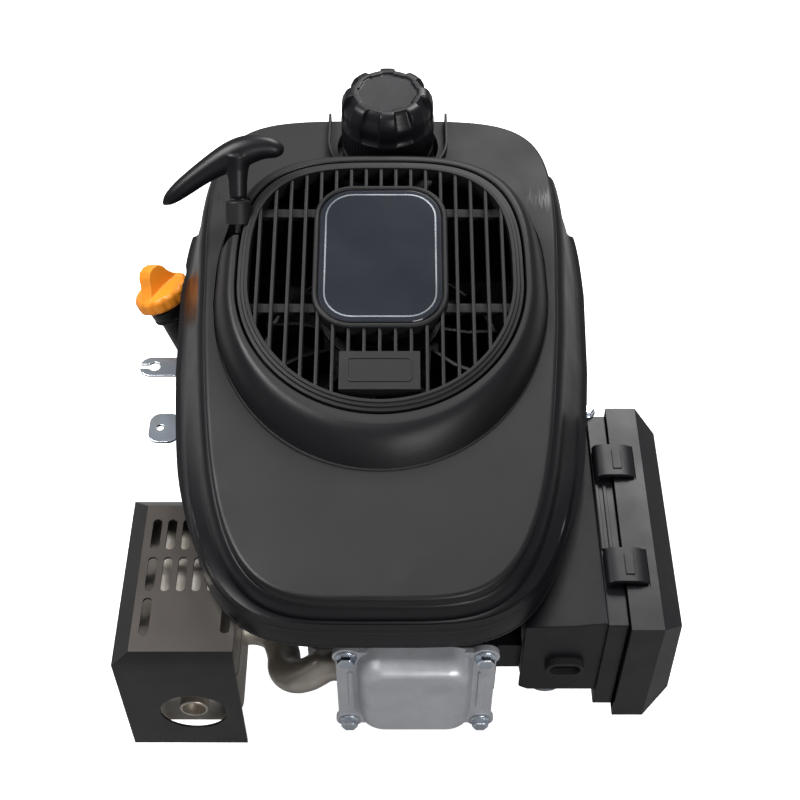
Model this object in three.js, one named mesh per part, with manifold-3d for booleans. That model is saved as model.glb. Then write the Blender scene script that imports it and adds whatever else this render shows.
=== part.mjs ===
// Vertical-shaft, single-cylinder overhead-valve petrol engine of the kind that drives a lawn mower.
// Millimetres. Origin: centre of the output shaft's end face. +Z up along the crankshaft, -Y towards the
// cylinder head, +X towards the air cleaner. Heights below are measured from the mounting flange, which
// lies SHAFT_LENGTH above the origin.
import * as THREE from "three";
import { mergeVertices } from "three/addons/utils/BufferGeometryUtils.js";
import Module from "manifold-3d";

// ---------- driving dimensions ----------
const BORE = 68;
const STROKE = 54;
const ROD_LENGTH = 90;
const AXIS_Z = 84; // height of the cylinder's axis above the mounting flange
const DECK_Y = -148; // joint face between cylinder and head
const COVER_Y = -214; // joint face between head and valve cover
const HEAD_X = 23; // the valve box sits off the cylinder's centre, over the push rods
const GAP = 0.3; // assembly gap between touching parts
const WALL = 2.5; // thickness of the moulded covers
const SHAFT_R = 12.7;
const SHAFT_LENGTH = 62;
const JOURNAL_R = 15;
const MODULE = 2.5; // timing gears
const CRANK_TEETH = 16;
const CAM_TEETH = 32;
const MOUNT_PCD = 203.2;
const MOUNT_HOLE_R = 4.5;
const JOINT_Z = 48; // joint between oil sump and cylinder block
const CAM_R = 7;
const COIL_POSTS = [[40, -106], [64, -106]];
const BRAKE_Z = 126; // underside of the brake lever
const FLYWHEEL_R = 84;
const HOUSING_TILT = THREE.MathUtils.degToRad(12); // the starter housing leans towards the head
const HOUSING_Z = 251; // its top, over the crankshaft
const TOP_Z = 236; // moulded top over the fuel tank
const TOP_BREAK_Y = 90; // in front of this it falls away
const TOP_FALL = 0.144; // mm per mm
const TOP_CROWN = 0.00015; // mm per square mm off the middle

const CRANK_R = STROKE / 2;
const PIN_Y = -CRANK_R; // crank pin at top dead centre
const WRIST_Y = PIN_Y - ROD_LENGTH;
const GEAR_DISTANCE = (MODULE * (CRANK_TEETH + CAM_TEETH)) / 2;
const CAM_X = 52;
const CAM_Y = Math.sqrt(GEAR_DISTANCE ** 2 - CAM_X ** 2);
const VALVE_X = 4;
const VALVE_DZ = 17; // each valve's distance above or below the cylinder's axis
const ROCKER_X = 30;
const ROCKER_Y = -208;

// ---------- materials ----------
const paint = (color, roughness, metalness = 0) =>
  new THREE.MeshStandardMaterial({ color, roughness, metalness });
const BLACK_PLASTIC = paint(0x1b1b1d, 0.45);
const MATT_PLASTIC = paint(0x2b2b2d, 0.6);
const ORANGE_PLASTIC = paint(0xf08a18, 0.4);
const BLACK_METAL = paint(0x232322, 0.5, 0.4);
const ALLOY = paint(0x9a9da3, 0.45, 0.8);
const STEEL = paint(0x8f9296, 0.35, 1);
const ZINC = paint(0xb9c3cc, 0.3, 1);
const RUBBER = paint(0x151515, 0.8);
const FOAM = paint(0x4a4a44, 0.95);
const CORD = paint(0x2e2e2e, 0.9);

// ---------- solids ----------
const wasm = await Module();
wasm.setup();

// A closed three.js geometry as a solid that can be joined and cut.
function solid(geometry) {
  const g = geometry.index ? geometry.toNonIndexed() : geometry.clone();
  g.deleteAttribute("normal");
  g.deleteAttribute("uv");
  const merged = mergeVertices(g, 1e-4);
  const index = merged.index.array;
  const kept = [];
  for (let i = 0; i < index.length; i += 3) {
    const [a, b, c] = [index[i], index[i + 1], index[i + 2]];
    if (a !== b && b !== c && a !== c) kept.push(a, b, c);
  }
  const made = new wasm.Manifold(
    new wasm.Mesh({
      numProp: 3,
      vertProperties: new Float32Array(merged.attributes.position.array),
      triVerts: new Uint32Array(kept),
    }),
  );
  if (made.volume() < 0) throw new Error("a solid is inside out");
  return made;
}

function geometryOf(manifold) {
  const mesh = manifold.getMesh();
  return new THREE.BufferGeometry()
    .setAttribute("position", new THREE.BufferAttribute(mesh.vertProperties, 3))
    .setIndex(new THREE.BufferAttribute(mesh.triVerts, 1));
}

const join = (first, ...rest) => rest.reduce((a, b) => a.add(b), first);
const cut = (first, ...rest) => rest.reduce((a, b) => a.subtract(b), first);
const at = (x, y, z) => new THREE.Vector3(x, y, z);

const box = (x0, x1, y0, y1, z0, z1) =>
  solid(
    new THREE.BoxGeometry(x1 - x0, y1 - y0, z1 - z0).translate(
      (x0 + x1) / 2,
      (y0 + y1) / 2,
      (z0 + z1) / 2,
    ),
  );

// How many flats a round surface is drawn with.
const sides = (r) => 2 * Math.round(1.4 * Math.sqrt(r) + 1.5);

// A round bar between two points, tapering from r to endR.
function bar(r, from, to, endR = r, flats = sides(r)) {
  const along = to.clone().sub(from);
  const g = new THREE.CylinderGeometry(endR, r, along.length(), flats);
  g.applyQuaternion(
    new THREE.Quaternion().setFromUnitVectors(at(0, 1, 0), along.normalize()),
  );
  return solid(g.translate(...from.clone().add(to).multiplyScalar(0.5)));
}

// A round bar along Z, centred on x, y.
const post = (r, z0, z1, x = 0, y = 0) => bar(r, at(x, y, z0), at(x, y, z1));

// The tool for a round hole: its flats, not its corners, lie at r.
const borer = (r, from, to) => bar(r / Math.cos(Math.PI / sides(r)), from, to, undefined, sides(r));
const hole = (r, z0, z1, x = 0, y = 0) => borer(r, at(x, y, z0), at(x, y, z1));

// A flat outline in XY, extruded from z0 to z1.
const slab = (shape, z0, z1, curveSegments = 8) =>
  solid(
    new THREE.ExtrudeGeometry(shape, {
      depth: z1 - z0,
      bevelEnabled: false,
      curveSegments,
    }).translate(0, 0, z0),
  );

// An outline in XZ, extruded from y0 to y1.
const alongY = (shape, y0, y1) =>
  solid(
    new THREE.ExtrudeGeometry(shape, { depth: y1 - y0, bevelEnabled: false })
      .rotateX(Math.PI / 2)
      .translate(0, y1, 0),
  );

// A profile of [radius, height] pairs turned about Z.
const turned = (profile, segments = 32) =>
  solid(
    new THREE.LatheGeometry(
      profile.map(([r, z]) => new THREE.Vector2(r, z)),
      segments,
    ).rotateX(Math.PI / 2),
  );

const outline = (points) =>
  new THREE.Shape(points.map(([x, y]) => new THREE.Vector2(x, y)));

// A rectangle with round corners, centred on x, y.
function roundRect(width, height, r, x = 0, y = 0) {
  const [w, h] = [width / 2, height / 2];
  const s = new THREE.Shape();
  s.moveTo(x - w + r, y - h);
  s.lineTo(x + w - r, y - h);
  s.absarc(x + w - r, y - h + r, r, -Math.PI / 2, 0);
  s.lineTo(x + w, y + h - r);
  s.absarc(x + w - r, y + h - r, r, 0, Math.PI / 2);
  s.lineTo(x - w + r, y + h);
  s.absarc(x - w + r, y + h - r, r, Math.PI / 2, Math.PI);
  s.lineTo(x - w, y - h + r);
  s.absarc(x - w + r, y - h + r, r, Math.PI, 1.5 * Math.PI);
  return s;
}

// Skins a stack of closed rings of equal length. The stack closes on itself, or is capped at both ends.
function skin(rings, capped) {
  const n = rings[0].length;
  const points = rings.flat();
  const index = [];
  const last = capped ? rings.length - 1 : rings.length;
  for (let k = 0; k < last; k++)
    for (let i = 0; i < n; i++) {
      const [a, b] = [k * n + i, k * n + ((i + 1) % n)];
      const up = ((k + 1) % rings.length) * n;
      index.push(a, b, up + ((i + 1) % n), a, up + ((i + 1) % n), up + i);
    }
  if (capped)
    for (const [ring, flip] of [
      [0, true],
      [rings.length - 1, false],
    ]) {
      const centre = points.length;
      const mean = at(0, 0, 0);
      rings[ring].forEach((p) => mean.add(p));
      points.push(mean.divideScalar(n));
      for (let i = 0; i < n; i++) {
        const [a, b] = [ring * n + i, ring * n + ((i + 1) % n)];
        index.push(...(flip ? [b, a, centre] : [a, b, centre]));
      }
    }
  return solid(
    new THREE.BufferGeometry()
      .setFromPoints(points)
      .setIndex(index)
      .toNonIndexed(),
  );
}

const around = (count, make) =>
  Array.from({ length: count }, (_, i) => make((i / count) * 2 * Math.PI, i));

// Tilts a solid with the starter housing, about the X axis through the crankshaft at HOUSING_Z.
const leaned = (manifold) =>
  manifold
    .rotate([THREE.MathUtils.radToDeg(HOUSING_TILT), 0, 0])
    .translate([0, 0, HOUSING_Z]);

// ---------- outlines of the covers ----------
// A rounded outline in plan: a superellipse with its own depth and squareness in front of and behind y0,
// narrowing towards the front by the share "taper".
function ovalPoint(angle, { a, y0, rear, front, rearPower, frontPower, taper = 0 }) {
  const [c, s] = [Math.cos(angle), Math.sin(angle)];
  const power = s >= 0 ? rearPower : frontPower;
  const share = Math.abs(s) ** (2 / power);
  const y = s >= 0 ? y0 + rear * share : y0 - front * share;
  const narrowing = s >= 0 ? 1 : 1 - taper * share;
  return [a * narrowing * Math.sign(c) * Math.abs(c) ** (2 / power), y];
}
const PANEL = { a: 123, y0: 30, rear: 146, front: 247, rearPower: 5, frontPower: 4.3, taper: 0.16 };
const FOOT = { a: 113, y0: 5, rear: 106, front: 133, rearPower: 3, frontPower: 2 }; // foot of the collar
const RIM_CLEARANCE = 1; // starter housing inside the opening of the top
const grown = (o, d) => ({ ...o, a: o.a + d, rear: o.rear + d, front: o.front + d });
// The covers flare at the sides and stay nearly upright in front and behind.
const flared = (d) => {
  const upright = 0.28 * d;
  return { ...PANEL, a: PANEL.a + d, rear: PANEL.rear + upright, front: PANEL.front + upright };
};
const RIM = { a: 96, y0: -5, rear: 98, front: 99, rearPower: 3.2, frontPower: 2 };

// Height of the moulded top: level over the tank, then falling to the front, and slightly crowned.
const topHeight = (y, x = 0) => TOP_Z - TOP_FALL * Math.max(0, TOP_BREAK_Y - y) - TOP_CROWN * x * x;
const rimHeight = (y) => HOUSING_Z - 4 + Math.tan(HOUSING_TILT) * y;

const onOval = (oval, height, count) =>
  around(count, (t) => {
    const [x, y] = ovalPoint(t, oval);
    return at(x, y, typeof height === "function" ? height(y, x) : height);
  });

// ---------- crankcase ----------
function caseOutline(r, camR) {
  return (z0, z1) => join(post(r, z0, z1), post(camR, z0, z1, CAM_X, CAM_Y));
}
const outerCase = caseOutline(88, 50);
const innerCase = caseOutline(80, 43);

function cylinderBlock() {
  const [z0, z1] = [JOINT_Z + GAP, 132];
  const shell = cut(outerCase(z0, z1), innerCase(z0 - 1, z1 - 10));
  const fins = [0, 1, 2].map((i) => box(-54, 66, -113 - 12 * i, -109 - 12 * i, 38, 130));
  const socket = join(
    bar(17, onFiller(-116), onFiller(-98)),
    bar(10, onFiller(-112), at(-78, 28, 66)),
  );
  const brakeStud = join(
    box(-120, -80, BRAKE_PIVOT.y - 8, BRAKE_PIVOT.y + 8, 112, BRAKE_Z - 2),
    post(4, BRAKE_Z - 3, BRAKE_Z + 5, BRAKE_PIVOT.x, BRAKE_PIVOT.y),
  );
  const coilPosts = COIL_POSTS.map(([x, y]) => post(4.5, 125, 149.7, x, y));
  const body = join(
    shell,
    post(34, z1 - 1, 141),
    bar(43, at(0, -52, AXIS_Z), at(0, DECK_Y, AXIS_Z)),
    cut(box(38, 64, -145, -40, AXIS_Z - 27, AXIS_Z + 27), innerCase(0, 200)),
    box(-50, 66, DECK_Y, DECK_Y + 6, 38, 130),
    ...fins,
    cut(socket, innerCase(0, 200)),
    brakeStud,
    ...coilPosts,
  );
  const rodPassages = [1, -1].map((side) =>
    borer(5, at(CAM_X, 0, AXIS_Z + 16 * side), at(CAM_X, DECK_Y - 1, AXIS_Z + 16 * side)),
  );
  return cut(
    body,
    borer(BORE / 2, at(0, -30, AXIS_Z), at(0, DECK_Y - 1, AXIS_Z)),
    hole(JOURNAL_R + GAP, 100, 150),
    outerCase(0, JOINT_Z + GAP),
    hole(26, 135, 150),
    hole(CAM_R + GAP, 115, 128.5, CAM_X, CAM_Y),
    borer(13 + GAP, onFiller(-112.4), onFiller(0)),
    borer(6, onFiller(-113), at(-60, 21, 72)),
    ...rodPassages,
  );
}

function oilSump() {
  const lugs = [45, 135, 225, 315].map((degrees) => {
    const a = THREE.MathUtils.degToRad(degrees);
    return [(MOUNT_PCD / 2) * Math.cos(a), (MOUNT_PCD / 2) * Math.sin(a), degrees];
  });
  const shell = cut(outerCase(0, JOINT_Z), innerCase(10, JOINT_Z + 1));
  return cut(
    join(
      shell,
      ...lugs.map(([x, y]) => post(14, 0, 14, x, y)),
      ...lugs.map(([, , degrees]) => box(82, MOUNT_PCD / 2, -13, 13, 0, 14).rotate([0, 0, degrees])),
      post(24, 8, 44),
      post(14, 8, 40, CAM_X, CAM_Y),
    ),
    ...lugs.map(([x, y]) => hole(MOUNT_HOLE_R, -1, 15, x, y)),
    hole(JOURNAL_R + GAP, -1, 60),
    hole(22, -1, 9),
    hole(CAM_R + GAP, 20, 60, CAM_X, CAM_Y),
  );
}

// A lip seal ring round the crankshaft.
const oilSeal = (z0, z1, outerR) =>
  cut(post(outerR, z0, z1), hole(JOURNAL_R + 0.6, z0 - 1, z1 + 1));

// ---------- crank, rod and piston ----------
// One crank web: a boss at the crank pin and a counterweight opposite it.
const crankWeb = (z0, z1) =>
  slab(
    outline([
      [-14, PIN_Y],
      [-11, PIN_Y - 9],
      [0, PIN_Y - 13.5],
      [11, PIN_Y - 9],
      [14, PIN_Y],
      [20, -2],
      ...around(13, (_, i) => {
        const a = THREE.MathUtils.degToRad(-2 + (184 * i) / 12);
        return [40 * Math.cos(a), 40 * Math.sin(a)];
      }),
      [-20, -2],
    ]),
    z0,
    z1,
  );

// Involute spur gear about x, y with its first tooth pointing at the angle phase.
function gear(teeth, z0, z1, x, y, phase) {
  const pressure = THREE.MathUtils.degToRad(20);
  const pitchR = (MODULE * teeth) / 2;
  const baseR = pitchR * Math.cos(pressure);
  const [rootR, tipR] = [pitchR - 1.15 * MODULE, pitchR + 0.8 * MODULE];
  const backlash = 0.5; // mm of tooth thickness taken off at the pitch circle
  const involute = (r) => {
    const a = Math.acos(Math.min(1, baseR / r));
    return Math.tan(a) - a;
  };
  const half = (Math.PI * MODULE) / 2 / 2 - backlash / 2;
  const halfAngle = (r) => half / pitchR + involute(pitchR) - involute(r);
  const radii = [rootR, pitchR, tipR];
  const points = [];
  for (let i = 0; i < teeth; i++) {
    const middle = phase + (i * 2 * Math.PI) / teeth;
    for (const r of radii) points.push([r, middle - halfAngle(r)]);
    for (const r of radii.toReversed()) points.push([r, middle + halfAngle(r)]);
  }
  return slab(
    outline(points.map(([r, a]) => [x + r * Math.cos(a), y + r * Math.sin(a)])),
    z0,
    z1,
  );
}
const CAM_DIRECTION = Math.atan2(CAM_Y, CAM_X);

function crankshaftLower() {
  const keyway = box(SHAFT_R - 3, SHAFT_R + 3, -3.2, 3.2, -SHAFT_LENGTH - 1, -SHAFT_LENGTH + 40);
  return cut(
    join(
      post(SHAFT_R, -SHAFT_LENGTH, 1),
      post(JOURNAL_R, 0, 60),
      gear(CRANK_TEETH, 49, 57, 0, 0, CAM_DIRECTION),
      crankWeb(60, 75),
    ),
    keyway,
  );
}

// Radius of the taper that carries the flywheel.
const taperR = (z) => 13.5 - (2.5 * (z - 146)) / 29;

const crankshaftUpper = () =>
  join(
    crankWeb(95, 111),
    post(JOURNAL_R, 110, 147),
    bar(taperR(146), at(0, 0, 146), at(0, 0, 173.5), taperR(173.5)),
    post(8, 173, 196),
  );

const crankPin = () => post(13, 75 + GAP, 95 - GAP, 0, PIN_Y);

function connectingRod() {
  const [z0, z1] = [AXIS_Z - 8.5, AXIS_Z + 8.5];
  return cut(
    join(
      post(18, z0, z1, 0, PIN_Y),
      post(12, z0, z1, 0, WRIST_Y),
      box(-6.5, 6.5, WRIST_Y, PIN_Y, AXIS_Z - 5, AXIS_Z + 5),
    ),
    hole(13 + GAP, z0 - 1, z1 + 1, 0, PIN_Y),
    hole(7 + GAP, z0 - 1, z1 + 1, 0, WRIST_Y),
  );
}

const PISTON_R = BORE / 2 - 0.15;
function piston() {
  const [crown, skirt] = [WRIST_Y - 28, WRIST_Y + 20];
  const body = bar(PISTON_R, at(0, crown, AXIS_Z), at(0, skirt, AXIS_Z));
  const grooves = [5, 11].map((d) =>
    cut(
      bar(PISTON_R + 1, at(0, crown + d, AXIS_Z), at(0, crown + d + 2, AXIS_Z)),
      bar(PISTON_R - 1.6, at(0, crown + d - 1, AXIS_Z), at(0, crown + d + 3, AXIS_Z)),
    ),
  );
  const hollow = bar(PISTON_R - 5, at(0, crown + 8, AXIS_Z), at(0, skirt + 1, AXIS_Z));
  const bosses = cut(
    bar(PISTON_R - 4, at(0, WRIST_Y - 12, AXIS_Z), at(0, WRIST_Y + 12, AXIS_Z)),
    box(-50, 50, WRIST_Y - 20, WRIST_Y + 20, AXIS_Z - 10, AXIS_Z + 10),
    box(12, 50, WRIST_Y - 20, WRIST_Y + 20, 0, 200),
    box(-50, -12, WRIST_Y - 20, WRIST_Y + 20, 0, 200),
  );
  return cut(
    join(cut(body, hollow), bosses),
    ...grooves,
    hole(7 + GAP, AXIS_Z - 50, AXIS_Z + 50, 0, WRIST_Y),
  );
}

const wristPin = () => post(7, AXIS_Z - 28, AXIS_Z + 28, 0, WRIST_Y);

// ---------- valve gear ----------
// A cam lobe: base circle with a nose, its nose pointing at the angle nose.
function camLobe(z0, z1, nose) {
  const [base, lift] = [9, 5.5];
  const points = around(20, (t) => {
    const r = base + lift * Math.max(0, Math.cos(t)) ** 4;
    return [CAM_X + r * Math.cos(t + nose), CAM_Y + r * Math.sin(t + nose)];
  });
  return slab(outline(points), z0, z1);
}

const camshaft = () =>
  join(
    post(CAM_R, 22, 127, CAM_X, CAM_Y),
    gear(CAM_TEETH, 49, 57, CAM_X, CAM_Y, CAM_DIRECTION + Math.PI + Math.PI / CAM_TEETH),
    camLobe(AXIS_Z - 21, AXIS_Z - 11, 0.4),
    camLobe(AXIS_Z + 11, AXIS_Z + 21, 2.2),
  );

// A push rod with its tappet foot, clear of the cam's nose.
function pushRod(side) {
  const z = AXIS_Z + 16 * side;
  const foot = CAM_Y - 15;
  return join(
    bar(8, at(CAM_X, foot, z), at(CAM_X, foot - 4, z)),
    bar(3, at(CAM_X, foot - 3, z), at(CAM_X, ROCKER_Y + 4.6, z)),
  );
}

const VALVE_SEAT_Y = DECK_Y - 8;
const valve = (side, headR) => {
  const z = AXIS_Z + VALVE_DZ * side;
  return join(
    bar(headR, at(VALVE_X, VALVE_SEAT_Y + 1.5, z), at(VALVE_X, VALVE_SEAT_Y - 1, z), headR - 1.5),
    bar(2.8, at(VALVE_X, VALVE_SEAT_Y, z), at(VALVE_X, ROCKER_Y + 4.6, z)),
    bar(8, at(VALVE_X, -198, z), at(VALVE_X, -195, z)),
  );
};

function rocker(side) {
  const z = AXIS_Z + VALVE_DZ * side * 0.97;
  const arm = box(VALVE_X - 4, CAM_X + 2.5, ROCKER_Y - 3.5, ROCKER_Y + 3.5, z - 5, z + 5);
  return cut(
    join(arm, post(7, z - 6, z + 6, ROCKER_X, ROCKER_Y)),
    hole(4 + GAP, z - 7, z + 7, ROCKER_X, ROCKER_Y),
  );
}

// Round pivot bar carrying both rockers, standing on the head by its middle pillar.
const rockerShaft = () =>
  join(
    post(4, AXIS_Z - 28, AXIS_Z + 28, ROCKER_X, ROCKER_Y),
    box(ROCKER_X - 4, ROCKER_X + 4, ROCKER_Y, -198.1, AXIS_Z - 6, AXIS_Z + 6),
  );

// ---------- head and valve cover ----------
function cylinderHead() {
  const [front, back] = [COVER_Y + 1.2, DECK_Y - 1.2];
  const body = join(
    box(-46, 70, back - 26, back, 40, 128),
    box(-22, 68, front, back - 20, 42, 126),
    ...[0, 1, 2].map((i) => box(-50, 74, back - 6 - 9 * i - 3, back - 6 - 9 * i, 34, 131)),
  );
  const rockerBox = slab(roundRect(78, 72, 8, HEAD_X, 0), 0, 16)
    .rotate([90, 0, 0])
    .translate([0, front + 15, AXIS_Z]);
  const guides = [1, -1].flatMap((side) => {
    const z = AXIS_Z + VALVE_DZ * side;
    return [
      borer(2.8 + GAP, at(VALVE_X, back + 1, z), at(VALVE_X, front - 1, z)),
      borer(10, at(VALVE_X, -200, z), at(VALVE_X, -184, z)),
      borer(15, at(VALVE_X, back + 1, z), at(VALVE_X, VALVE_SEAT_Y - 4, z)),
      borer(5, at(CAM_X, back + 1, AXIS_Z + 16 * side), at(CAM_X, front - 1, AXIS_Z + 16 * side)),
    ];
  });
  const plugHole = join(
    borer(6.9 + GAP, onPlug(-2), onPlug(60)),
    borer(14, onPlug(16), onPlug(60)),
  );
  const bolts = valveBoltPlaces().map(([x, z]) =>
    borer(3 + GAP, at(x, front - 1, z), at(x, front + 14, z)),
  );
  return cut(
    body,
    borer(BORE / 2, at(0, back + 1, AXIS_Z), at(0, DECK_Y - 6, AXIS_Z)),
    rockerBox,
    ...guides,
    plugHole,
    ...bolts,
  );
}

const headGasket = () =>
  cut(
    box(-46, 70, DECK_Y - 1, DECK_Y - GAP, 40, 128),
    borer(BORE / 2 + 1, at(0, -160, AXIS_Z), at(0, -140, AXIS_Z)),
    ...[1, -1].map((s) => borer(5.5, at(CAM_X, -160, AXIS_Z + 16 * s), at(CAM_X, -140, AXIS_Z + 16 * s))),
  );

const valveBoltPlaces = () =>
  [-1, 1].flatMap((sx) => [-1, 1].map((sz) => [HEAD_X + 44 * sx, AXIS_Z - 1 + 42 * sz]));

// A rounded rectangle in XZ, as a ring of points at one y.
function facingRing(y, width, height, r, x, z) {
  const pts = roundRect(width, height, r, 0, 0).extractPoints(4).shape;
  return pts.map((p) => at(x + p.x, y, z + p.y));
}

function valveCover() {
  const z = AXIS_Z - 1;
  const plate = slab(
    roundRect(88 + 14, 84 + 10, 9, HEAD_X, z),
    0,
    4,
  )
    .rotate([90, 0, 0])
    .translate([0, COVER_Y + 0.7, 0]);
  const ring = (y, w, h, r, dz) => facingRing(y, w, h, r, HEAD_X, AXIS_Z + 7 + dz);
  const dome = skin(
    [
      ring(COVER_Y - 1, 74, 82, 14, 0),
      ring(COVER_Y - 14, 68, 76, 14, 0),
      ring(COVER_Y - 19, 62, 70, 13, 0),
    ],
    true,
  );
  const hollow = skin(
    [
      ring(COVER_Y + 2, 68, 76, 11, 0),
      ring(COVER_Y - 13, 62, 70, 11, 0),
      ring(COVER_Y - 16, 57, 65, 10, 0),
    ],
    true,
  );
  const holes = valveBoltPlaces().map(([x, bz]) => borer(3.1 + GAP, at(x, -225, bz), at(x, -205, bz)));
  return cut(join(plate, dome), hollow, ...holes);
}

// A flanged hexagon bolt with its head at "head", screwed in along "into".
function bolt(head, into, shankR, headR, shankLength) {
  const step = (d) => head.clone().addScaledVector(into, d);
  return join(
    bar(headR, step(-headR * 0.9), step(-0.4), headR, 6),
    bar(headR * 1.22, step(-1.6), step(0)),
    bar(shankR, step(-0.5), step(shankLength)),
  );
}

// ---------- flywheel side ----------
const flywheel = () =>
  cut(
    turned([
      [0, 149], [26, 149], [26, 154], [66, 154], [66, 148], [FLYWHEEL_R, 148],
      [FLYWHEEL_R, 171], [62, 171], [60, 165], [24, 165], [24, 174], [0, 174],
    ], 30),
    bar(taperR(140) + GAP + 0.2, at(0, 0, 140), at(0, 0, 176), taperR(176) + GAP + 0.2),
  );

function coolingFan() {
  const disc = cut(post(80, 171 + GAP, 174), hole(26, 160, 190));
  const blades = around(12, (t) => {
    const blade = new THREE.Shape();
    blade.moveTo(40, -1.2);
    blade.quadraticCurveTo(60, -8, 80, -4);
    blade.lineTo(80, -1.6);
    blade.quadraticCurveTo(60, -5.6, 40, 1.2);
    return slab(blade, 173, 196, 2).rotate([0, 0, THREE.MathUtils.radToDeg(t)]);
  });
  return join(disc, ...blades);
}

const CUP_Z = 174 + GAP;
const starterCup = () =>
  cut(
    turned([
      [0, CUP_Z], [34, CUP_Z], [34, CUP_Z + 26], [31.5, CUP_Z + 26], [31.5, CUP_Z + 3], [0, CUP_Z + 3],
    ], 28),
    hole(8 + GAP, 170, 180),
  );

const flywheelNut = () => {
  const [z0, z1] = [CUP_Z + 3 + GAP, 188];
  return cut(bar(13, at(0, 0, z0), at(0, 0, z1), 13, 6), hole(8 + GAP, 170, 195));
};

// ---------- recoil starter ----------
const STARTER_HUB_R = 9;
const REEL_BORE = STARTER_HUB_R + 0.6;
const reelProfile = [
  [REEL_BORE, 206],
  [42, 206],
  [42, 208.5],
  [36, 210.5],
  [36, 217.5],
  [42, 219.5],
  [42, 222],
  [REEL_BORE, 222],
];
const PAWL = at(22, 0, 199);
const starterReel = () =>
  join(
    turned([...reelProfile, reelProfile[0]], 28),
    post(3, 194.5, 207, PAWL.x, PAWL.y),
  );

const starterPawl = () =>
  cut(
    join(
      post(5.5, 195, 201, PAWL.x, PAWL.y),
      slab(outline([[22, -5], [26, 2], [25, 12], [21.5, 17], [18, 12], [17, 0]]), 195, 201),
    ),
    hole(3 + GAP, 190, 205, PAWL.x, PAWL.y),
  );

// The flat recoil spring: a spiral ribbon above the reel.
function recoilSpring() {
  const [turns, steps] = [3, 48];
  const spiral = (offset) =>
    Array.from({ length: steps + 1 }, (_, i) => {
      const a = (i / steps) * turns * 2 * Math.PI;
      const r = 13 + (18 * i) / steps + offset;
      return [r * Math.cos(a), r * Math.sin(a)];
    });
  return slab(outline([...spiral(0.5), ...spiral(-0.5).reverse()]), 223.5, 228);
}

const SLAT_PITCH = 10.2;
const SLAT = 2.4;
const FRAME = { width: 90, length: 113, r: 26, y: 13 };
const LOWER = { width: 52, y0: -89, y1: -61 };

function rimShape(d) {
  return outline(around(36, (t) => ovalPoint(t, grown(RIM, d))));
}

function starterHousing() {
  const ring = cut(slab(rimShape(-RIM_CLEARANCE), -13, 0), slab(rimShape(-8), -14, 1));
  const frame = cut(
    slab(roundRect(FRAME.width, FRAME.length, FRAME.r, 0, FRAME.y), -9, 1, 5),
    slab(roundRect(FRAME.width - 7, FRAME.length - 7, FRAME.r - 3, 0, FRAME.y), -0.8, 2, 5),
  );
  const lower = box(-LOWER.width / 2, LOWER.width / 2, LOWER.y0, LOWER.y1, -9, 0);
  const slats = Array.from({ length: 17 }, (_, i) => {
    const x = (i - 8) * SLAT_PITCH;
    return box(x - SLAT / 2, x + SLAT / 2, -120, 120, -8, -1);
  });
  const rails = [52, -24].map((y) => box(-110, 110, y - 3.5, y + 3.5, -12, -7.5));
  const mouth = box(-LOWER.width / 2 + 1.2, LOWER.width / 2 - 1.2, -98, LOWER.y0, -20, 2);
  const bars = cut(join(...slats, ...rails), mouth);
  const grille = bars.intersect(slab(rimShape(-3), -13, 0));
  const tilted = leaned(join(ring, frame, lower, grille));
  const hub = join(
    post(STARTER_HUB_R, 204, 244),
    cut(post(38, 223, 233), hole(34, 220, 230)),
  );
  const eyelet = bar(9, onCord(-16), onCord(0));
  return cut(
    join(tilted, hub, eyelet),
    borer(CORD_R + 1, onCord(-40), onCord(5)),
  );
}

const badgePlate = () =>
  leaned(slab(roundRect(FRAME.width - 8, FRAME.length - 8, FRAME.r - 3.5, 0, FRAME.y), -0.4, 0.6, 5));

// The pull handle stands off its eyelet along the direction in which the cord is pulled.
const STARTER_EXIT = at(-97, 54, 265);
const PULL = at(0, 0.62, 0.78).normalize();
const onCord = (d) => STARTER_EXIT.clone().addScaledVector(PULL, d);
const CORD_R = 2.2;
const GRIP_D = 33; // from the eyelet to the middle of the grip

// The grip is a curved bar across the cord. Its left arm is the longer one and droops.
function starterHandle() {
  const onGrip = (x, d) => onCord(d).add(at(x, 0, 0));
  const grip = new THREE.QuadraticBezierCurve3(onGrip(-51, -3), onGrip(10, 52), onGrip(31, 31));
  const section = new THREE.Shape().absellipse(0, 0, 6.5, 7.5, 0, 2 * Math.PI);
  return cut(
    join(
      solid(new THREE.ExtrudeGeometry(section, { steps: 10, curveSegments: 6, extrudePath: grip })),
      bar(6, onCord(1), onCord(GRIP_D), 8.5),
    ),
    borer(CORD_R + GAP, onCord(-1), onCord(20)),
  );
}

const starterRope = () => bar(CORD_R, onCord(-22), onCord(18));

// ---------- covers ----------
const RING_POINTS = 36;
const CAP_PLACE = [4, 145];

// Rings of the moulded top from the starter opening to its outer edge, lowered by "drop" and drawn in
// by "inset". The underside is drawn in, because the collar falls away faster than the wall is thick.
function topRings(drop, inset) {
  const inner = onOval(grown(RIM, 0.5), rimHeight, RING_POINTS);
  const foot = onOval(grown(FOOT, -inset), topHeight, RING_POINTS);
  const outer = onOval(grown(PANEL, -inset), topHeight, RING_POINTS);
  const shoulder = inner.map((p, i) => p.clone().lerp(foot[i], 0.4).setZ(rimHeight(p.y) - 4));
  const rings = [inner, shoulder, foot, outer];
  return rings.map((ring) => ring.map((p) => p.clone().setZ(p.z - drop)));
}

function topCover() {
  const upper = topRings(0, 0);
  const lip = upper.at(-1).map((p) => p.clone().setZ(p.z - 7));
  const lower = topRings(WALL, WALL * 0.6);
  const lipInside = lower.at(-1).map((p) => p.clone().setZ(p.z - 7 + WALL));
  const shell = skin([...lower, lipInside, lip, ...upper.toReversed()], false);
  const [cx, cy] = CAP_PLACE;
  return cut(
    shell,
    hole(37, 200, 260, cx, cy),
    leaned(slab(rimShape(0), -60, 30)),
    bar(11, onCord(-60), onCord(10)),
  );
}

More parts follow.
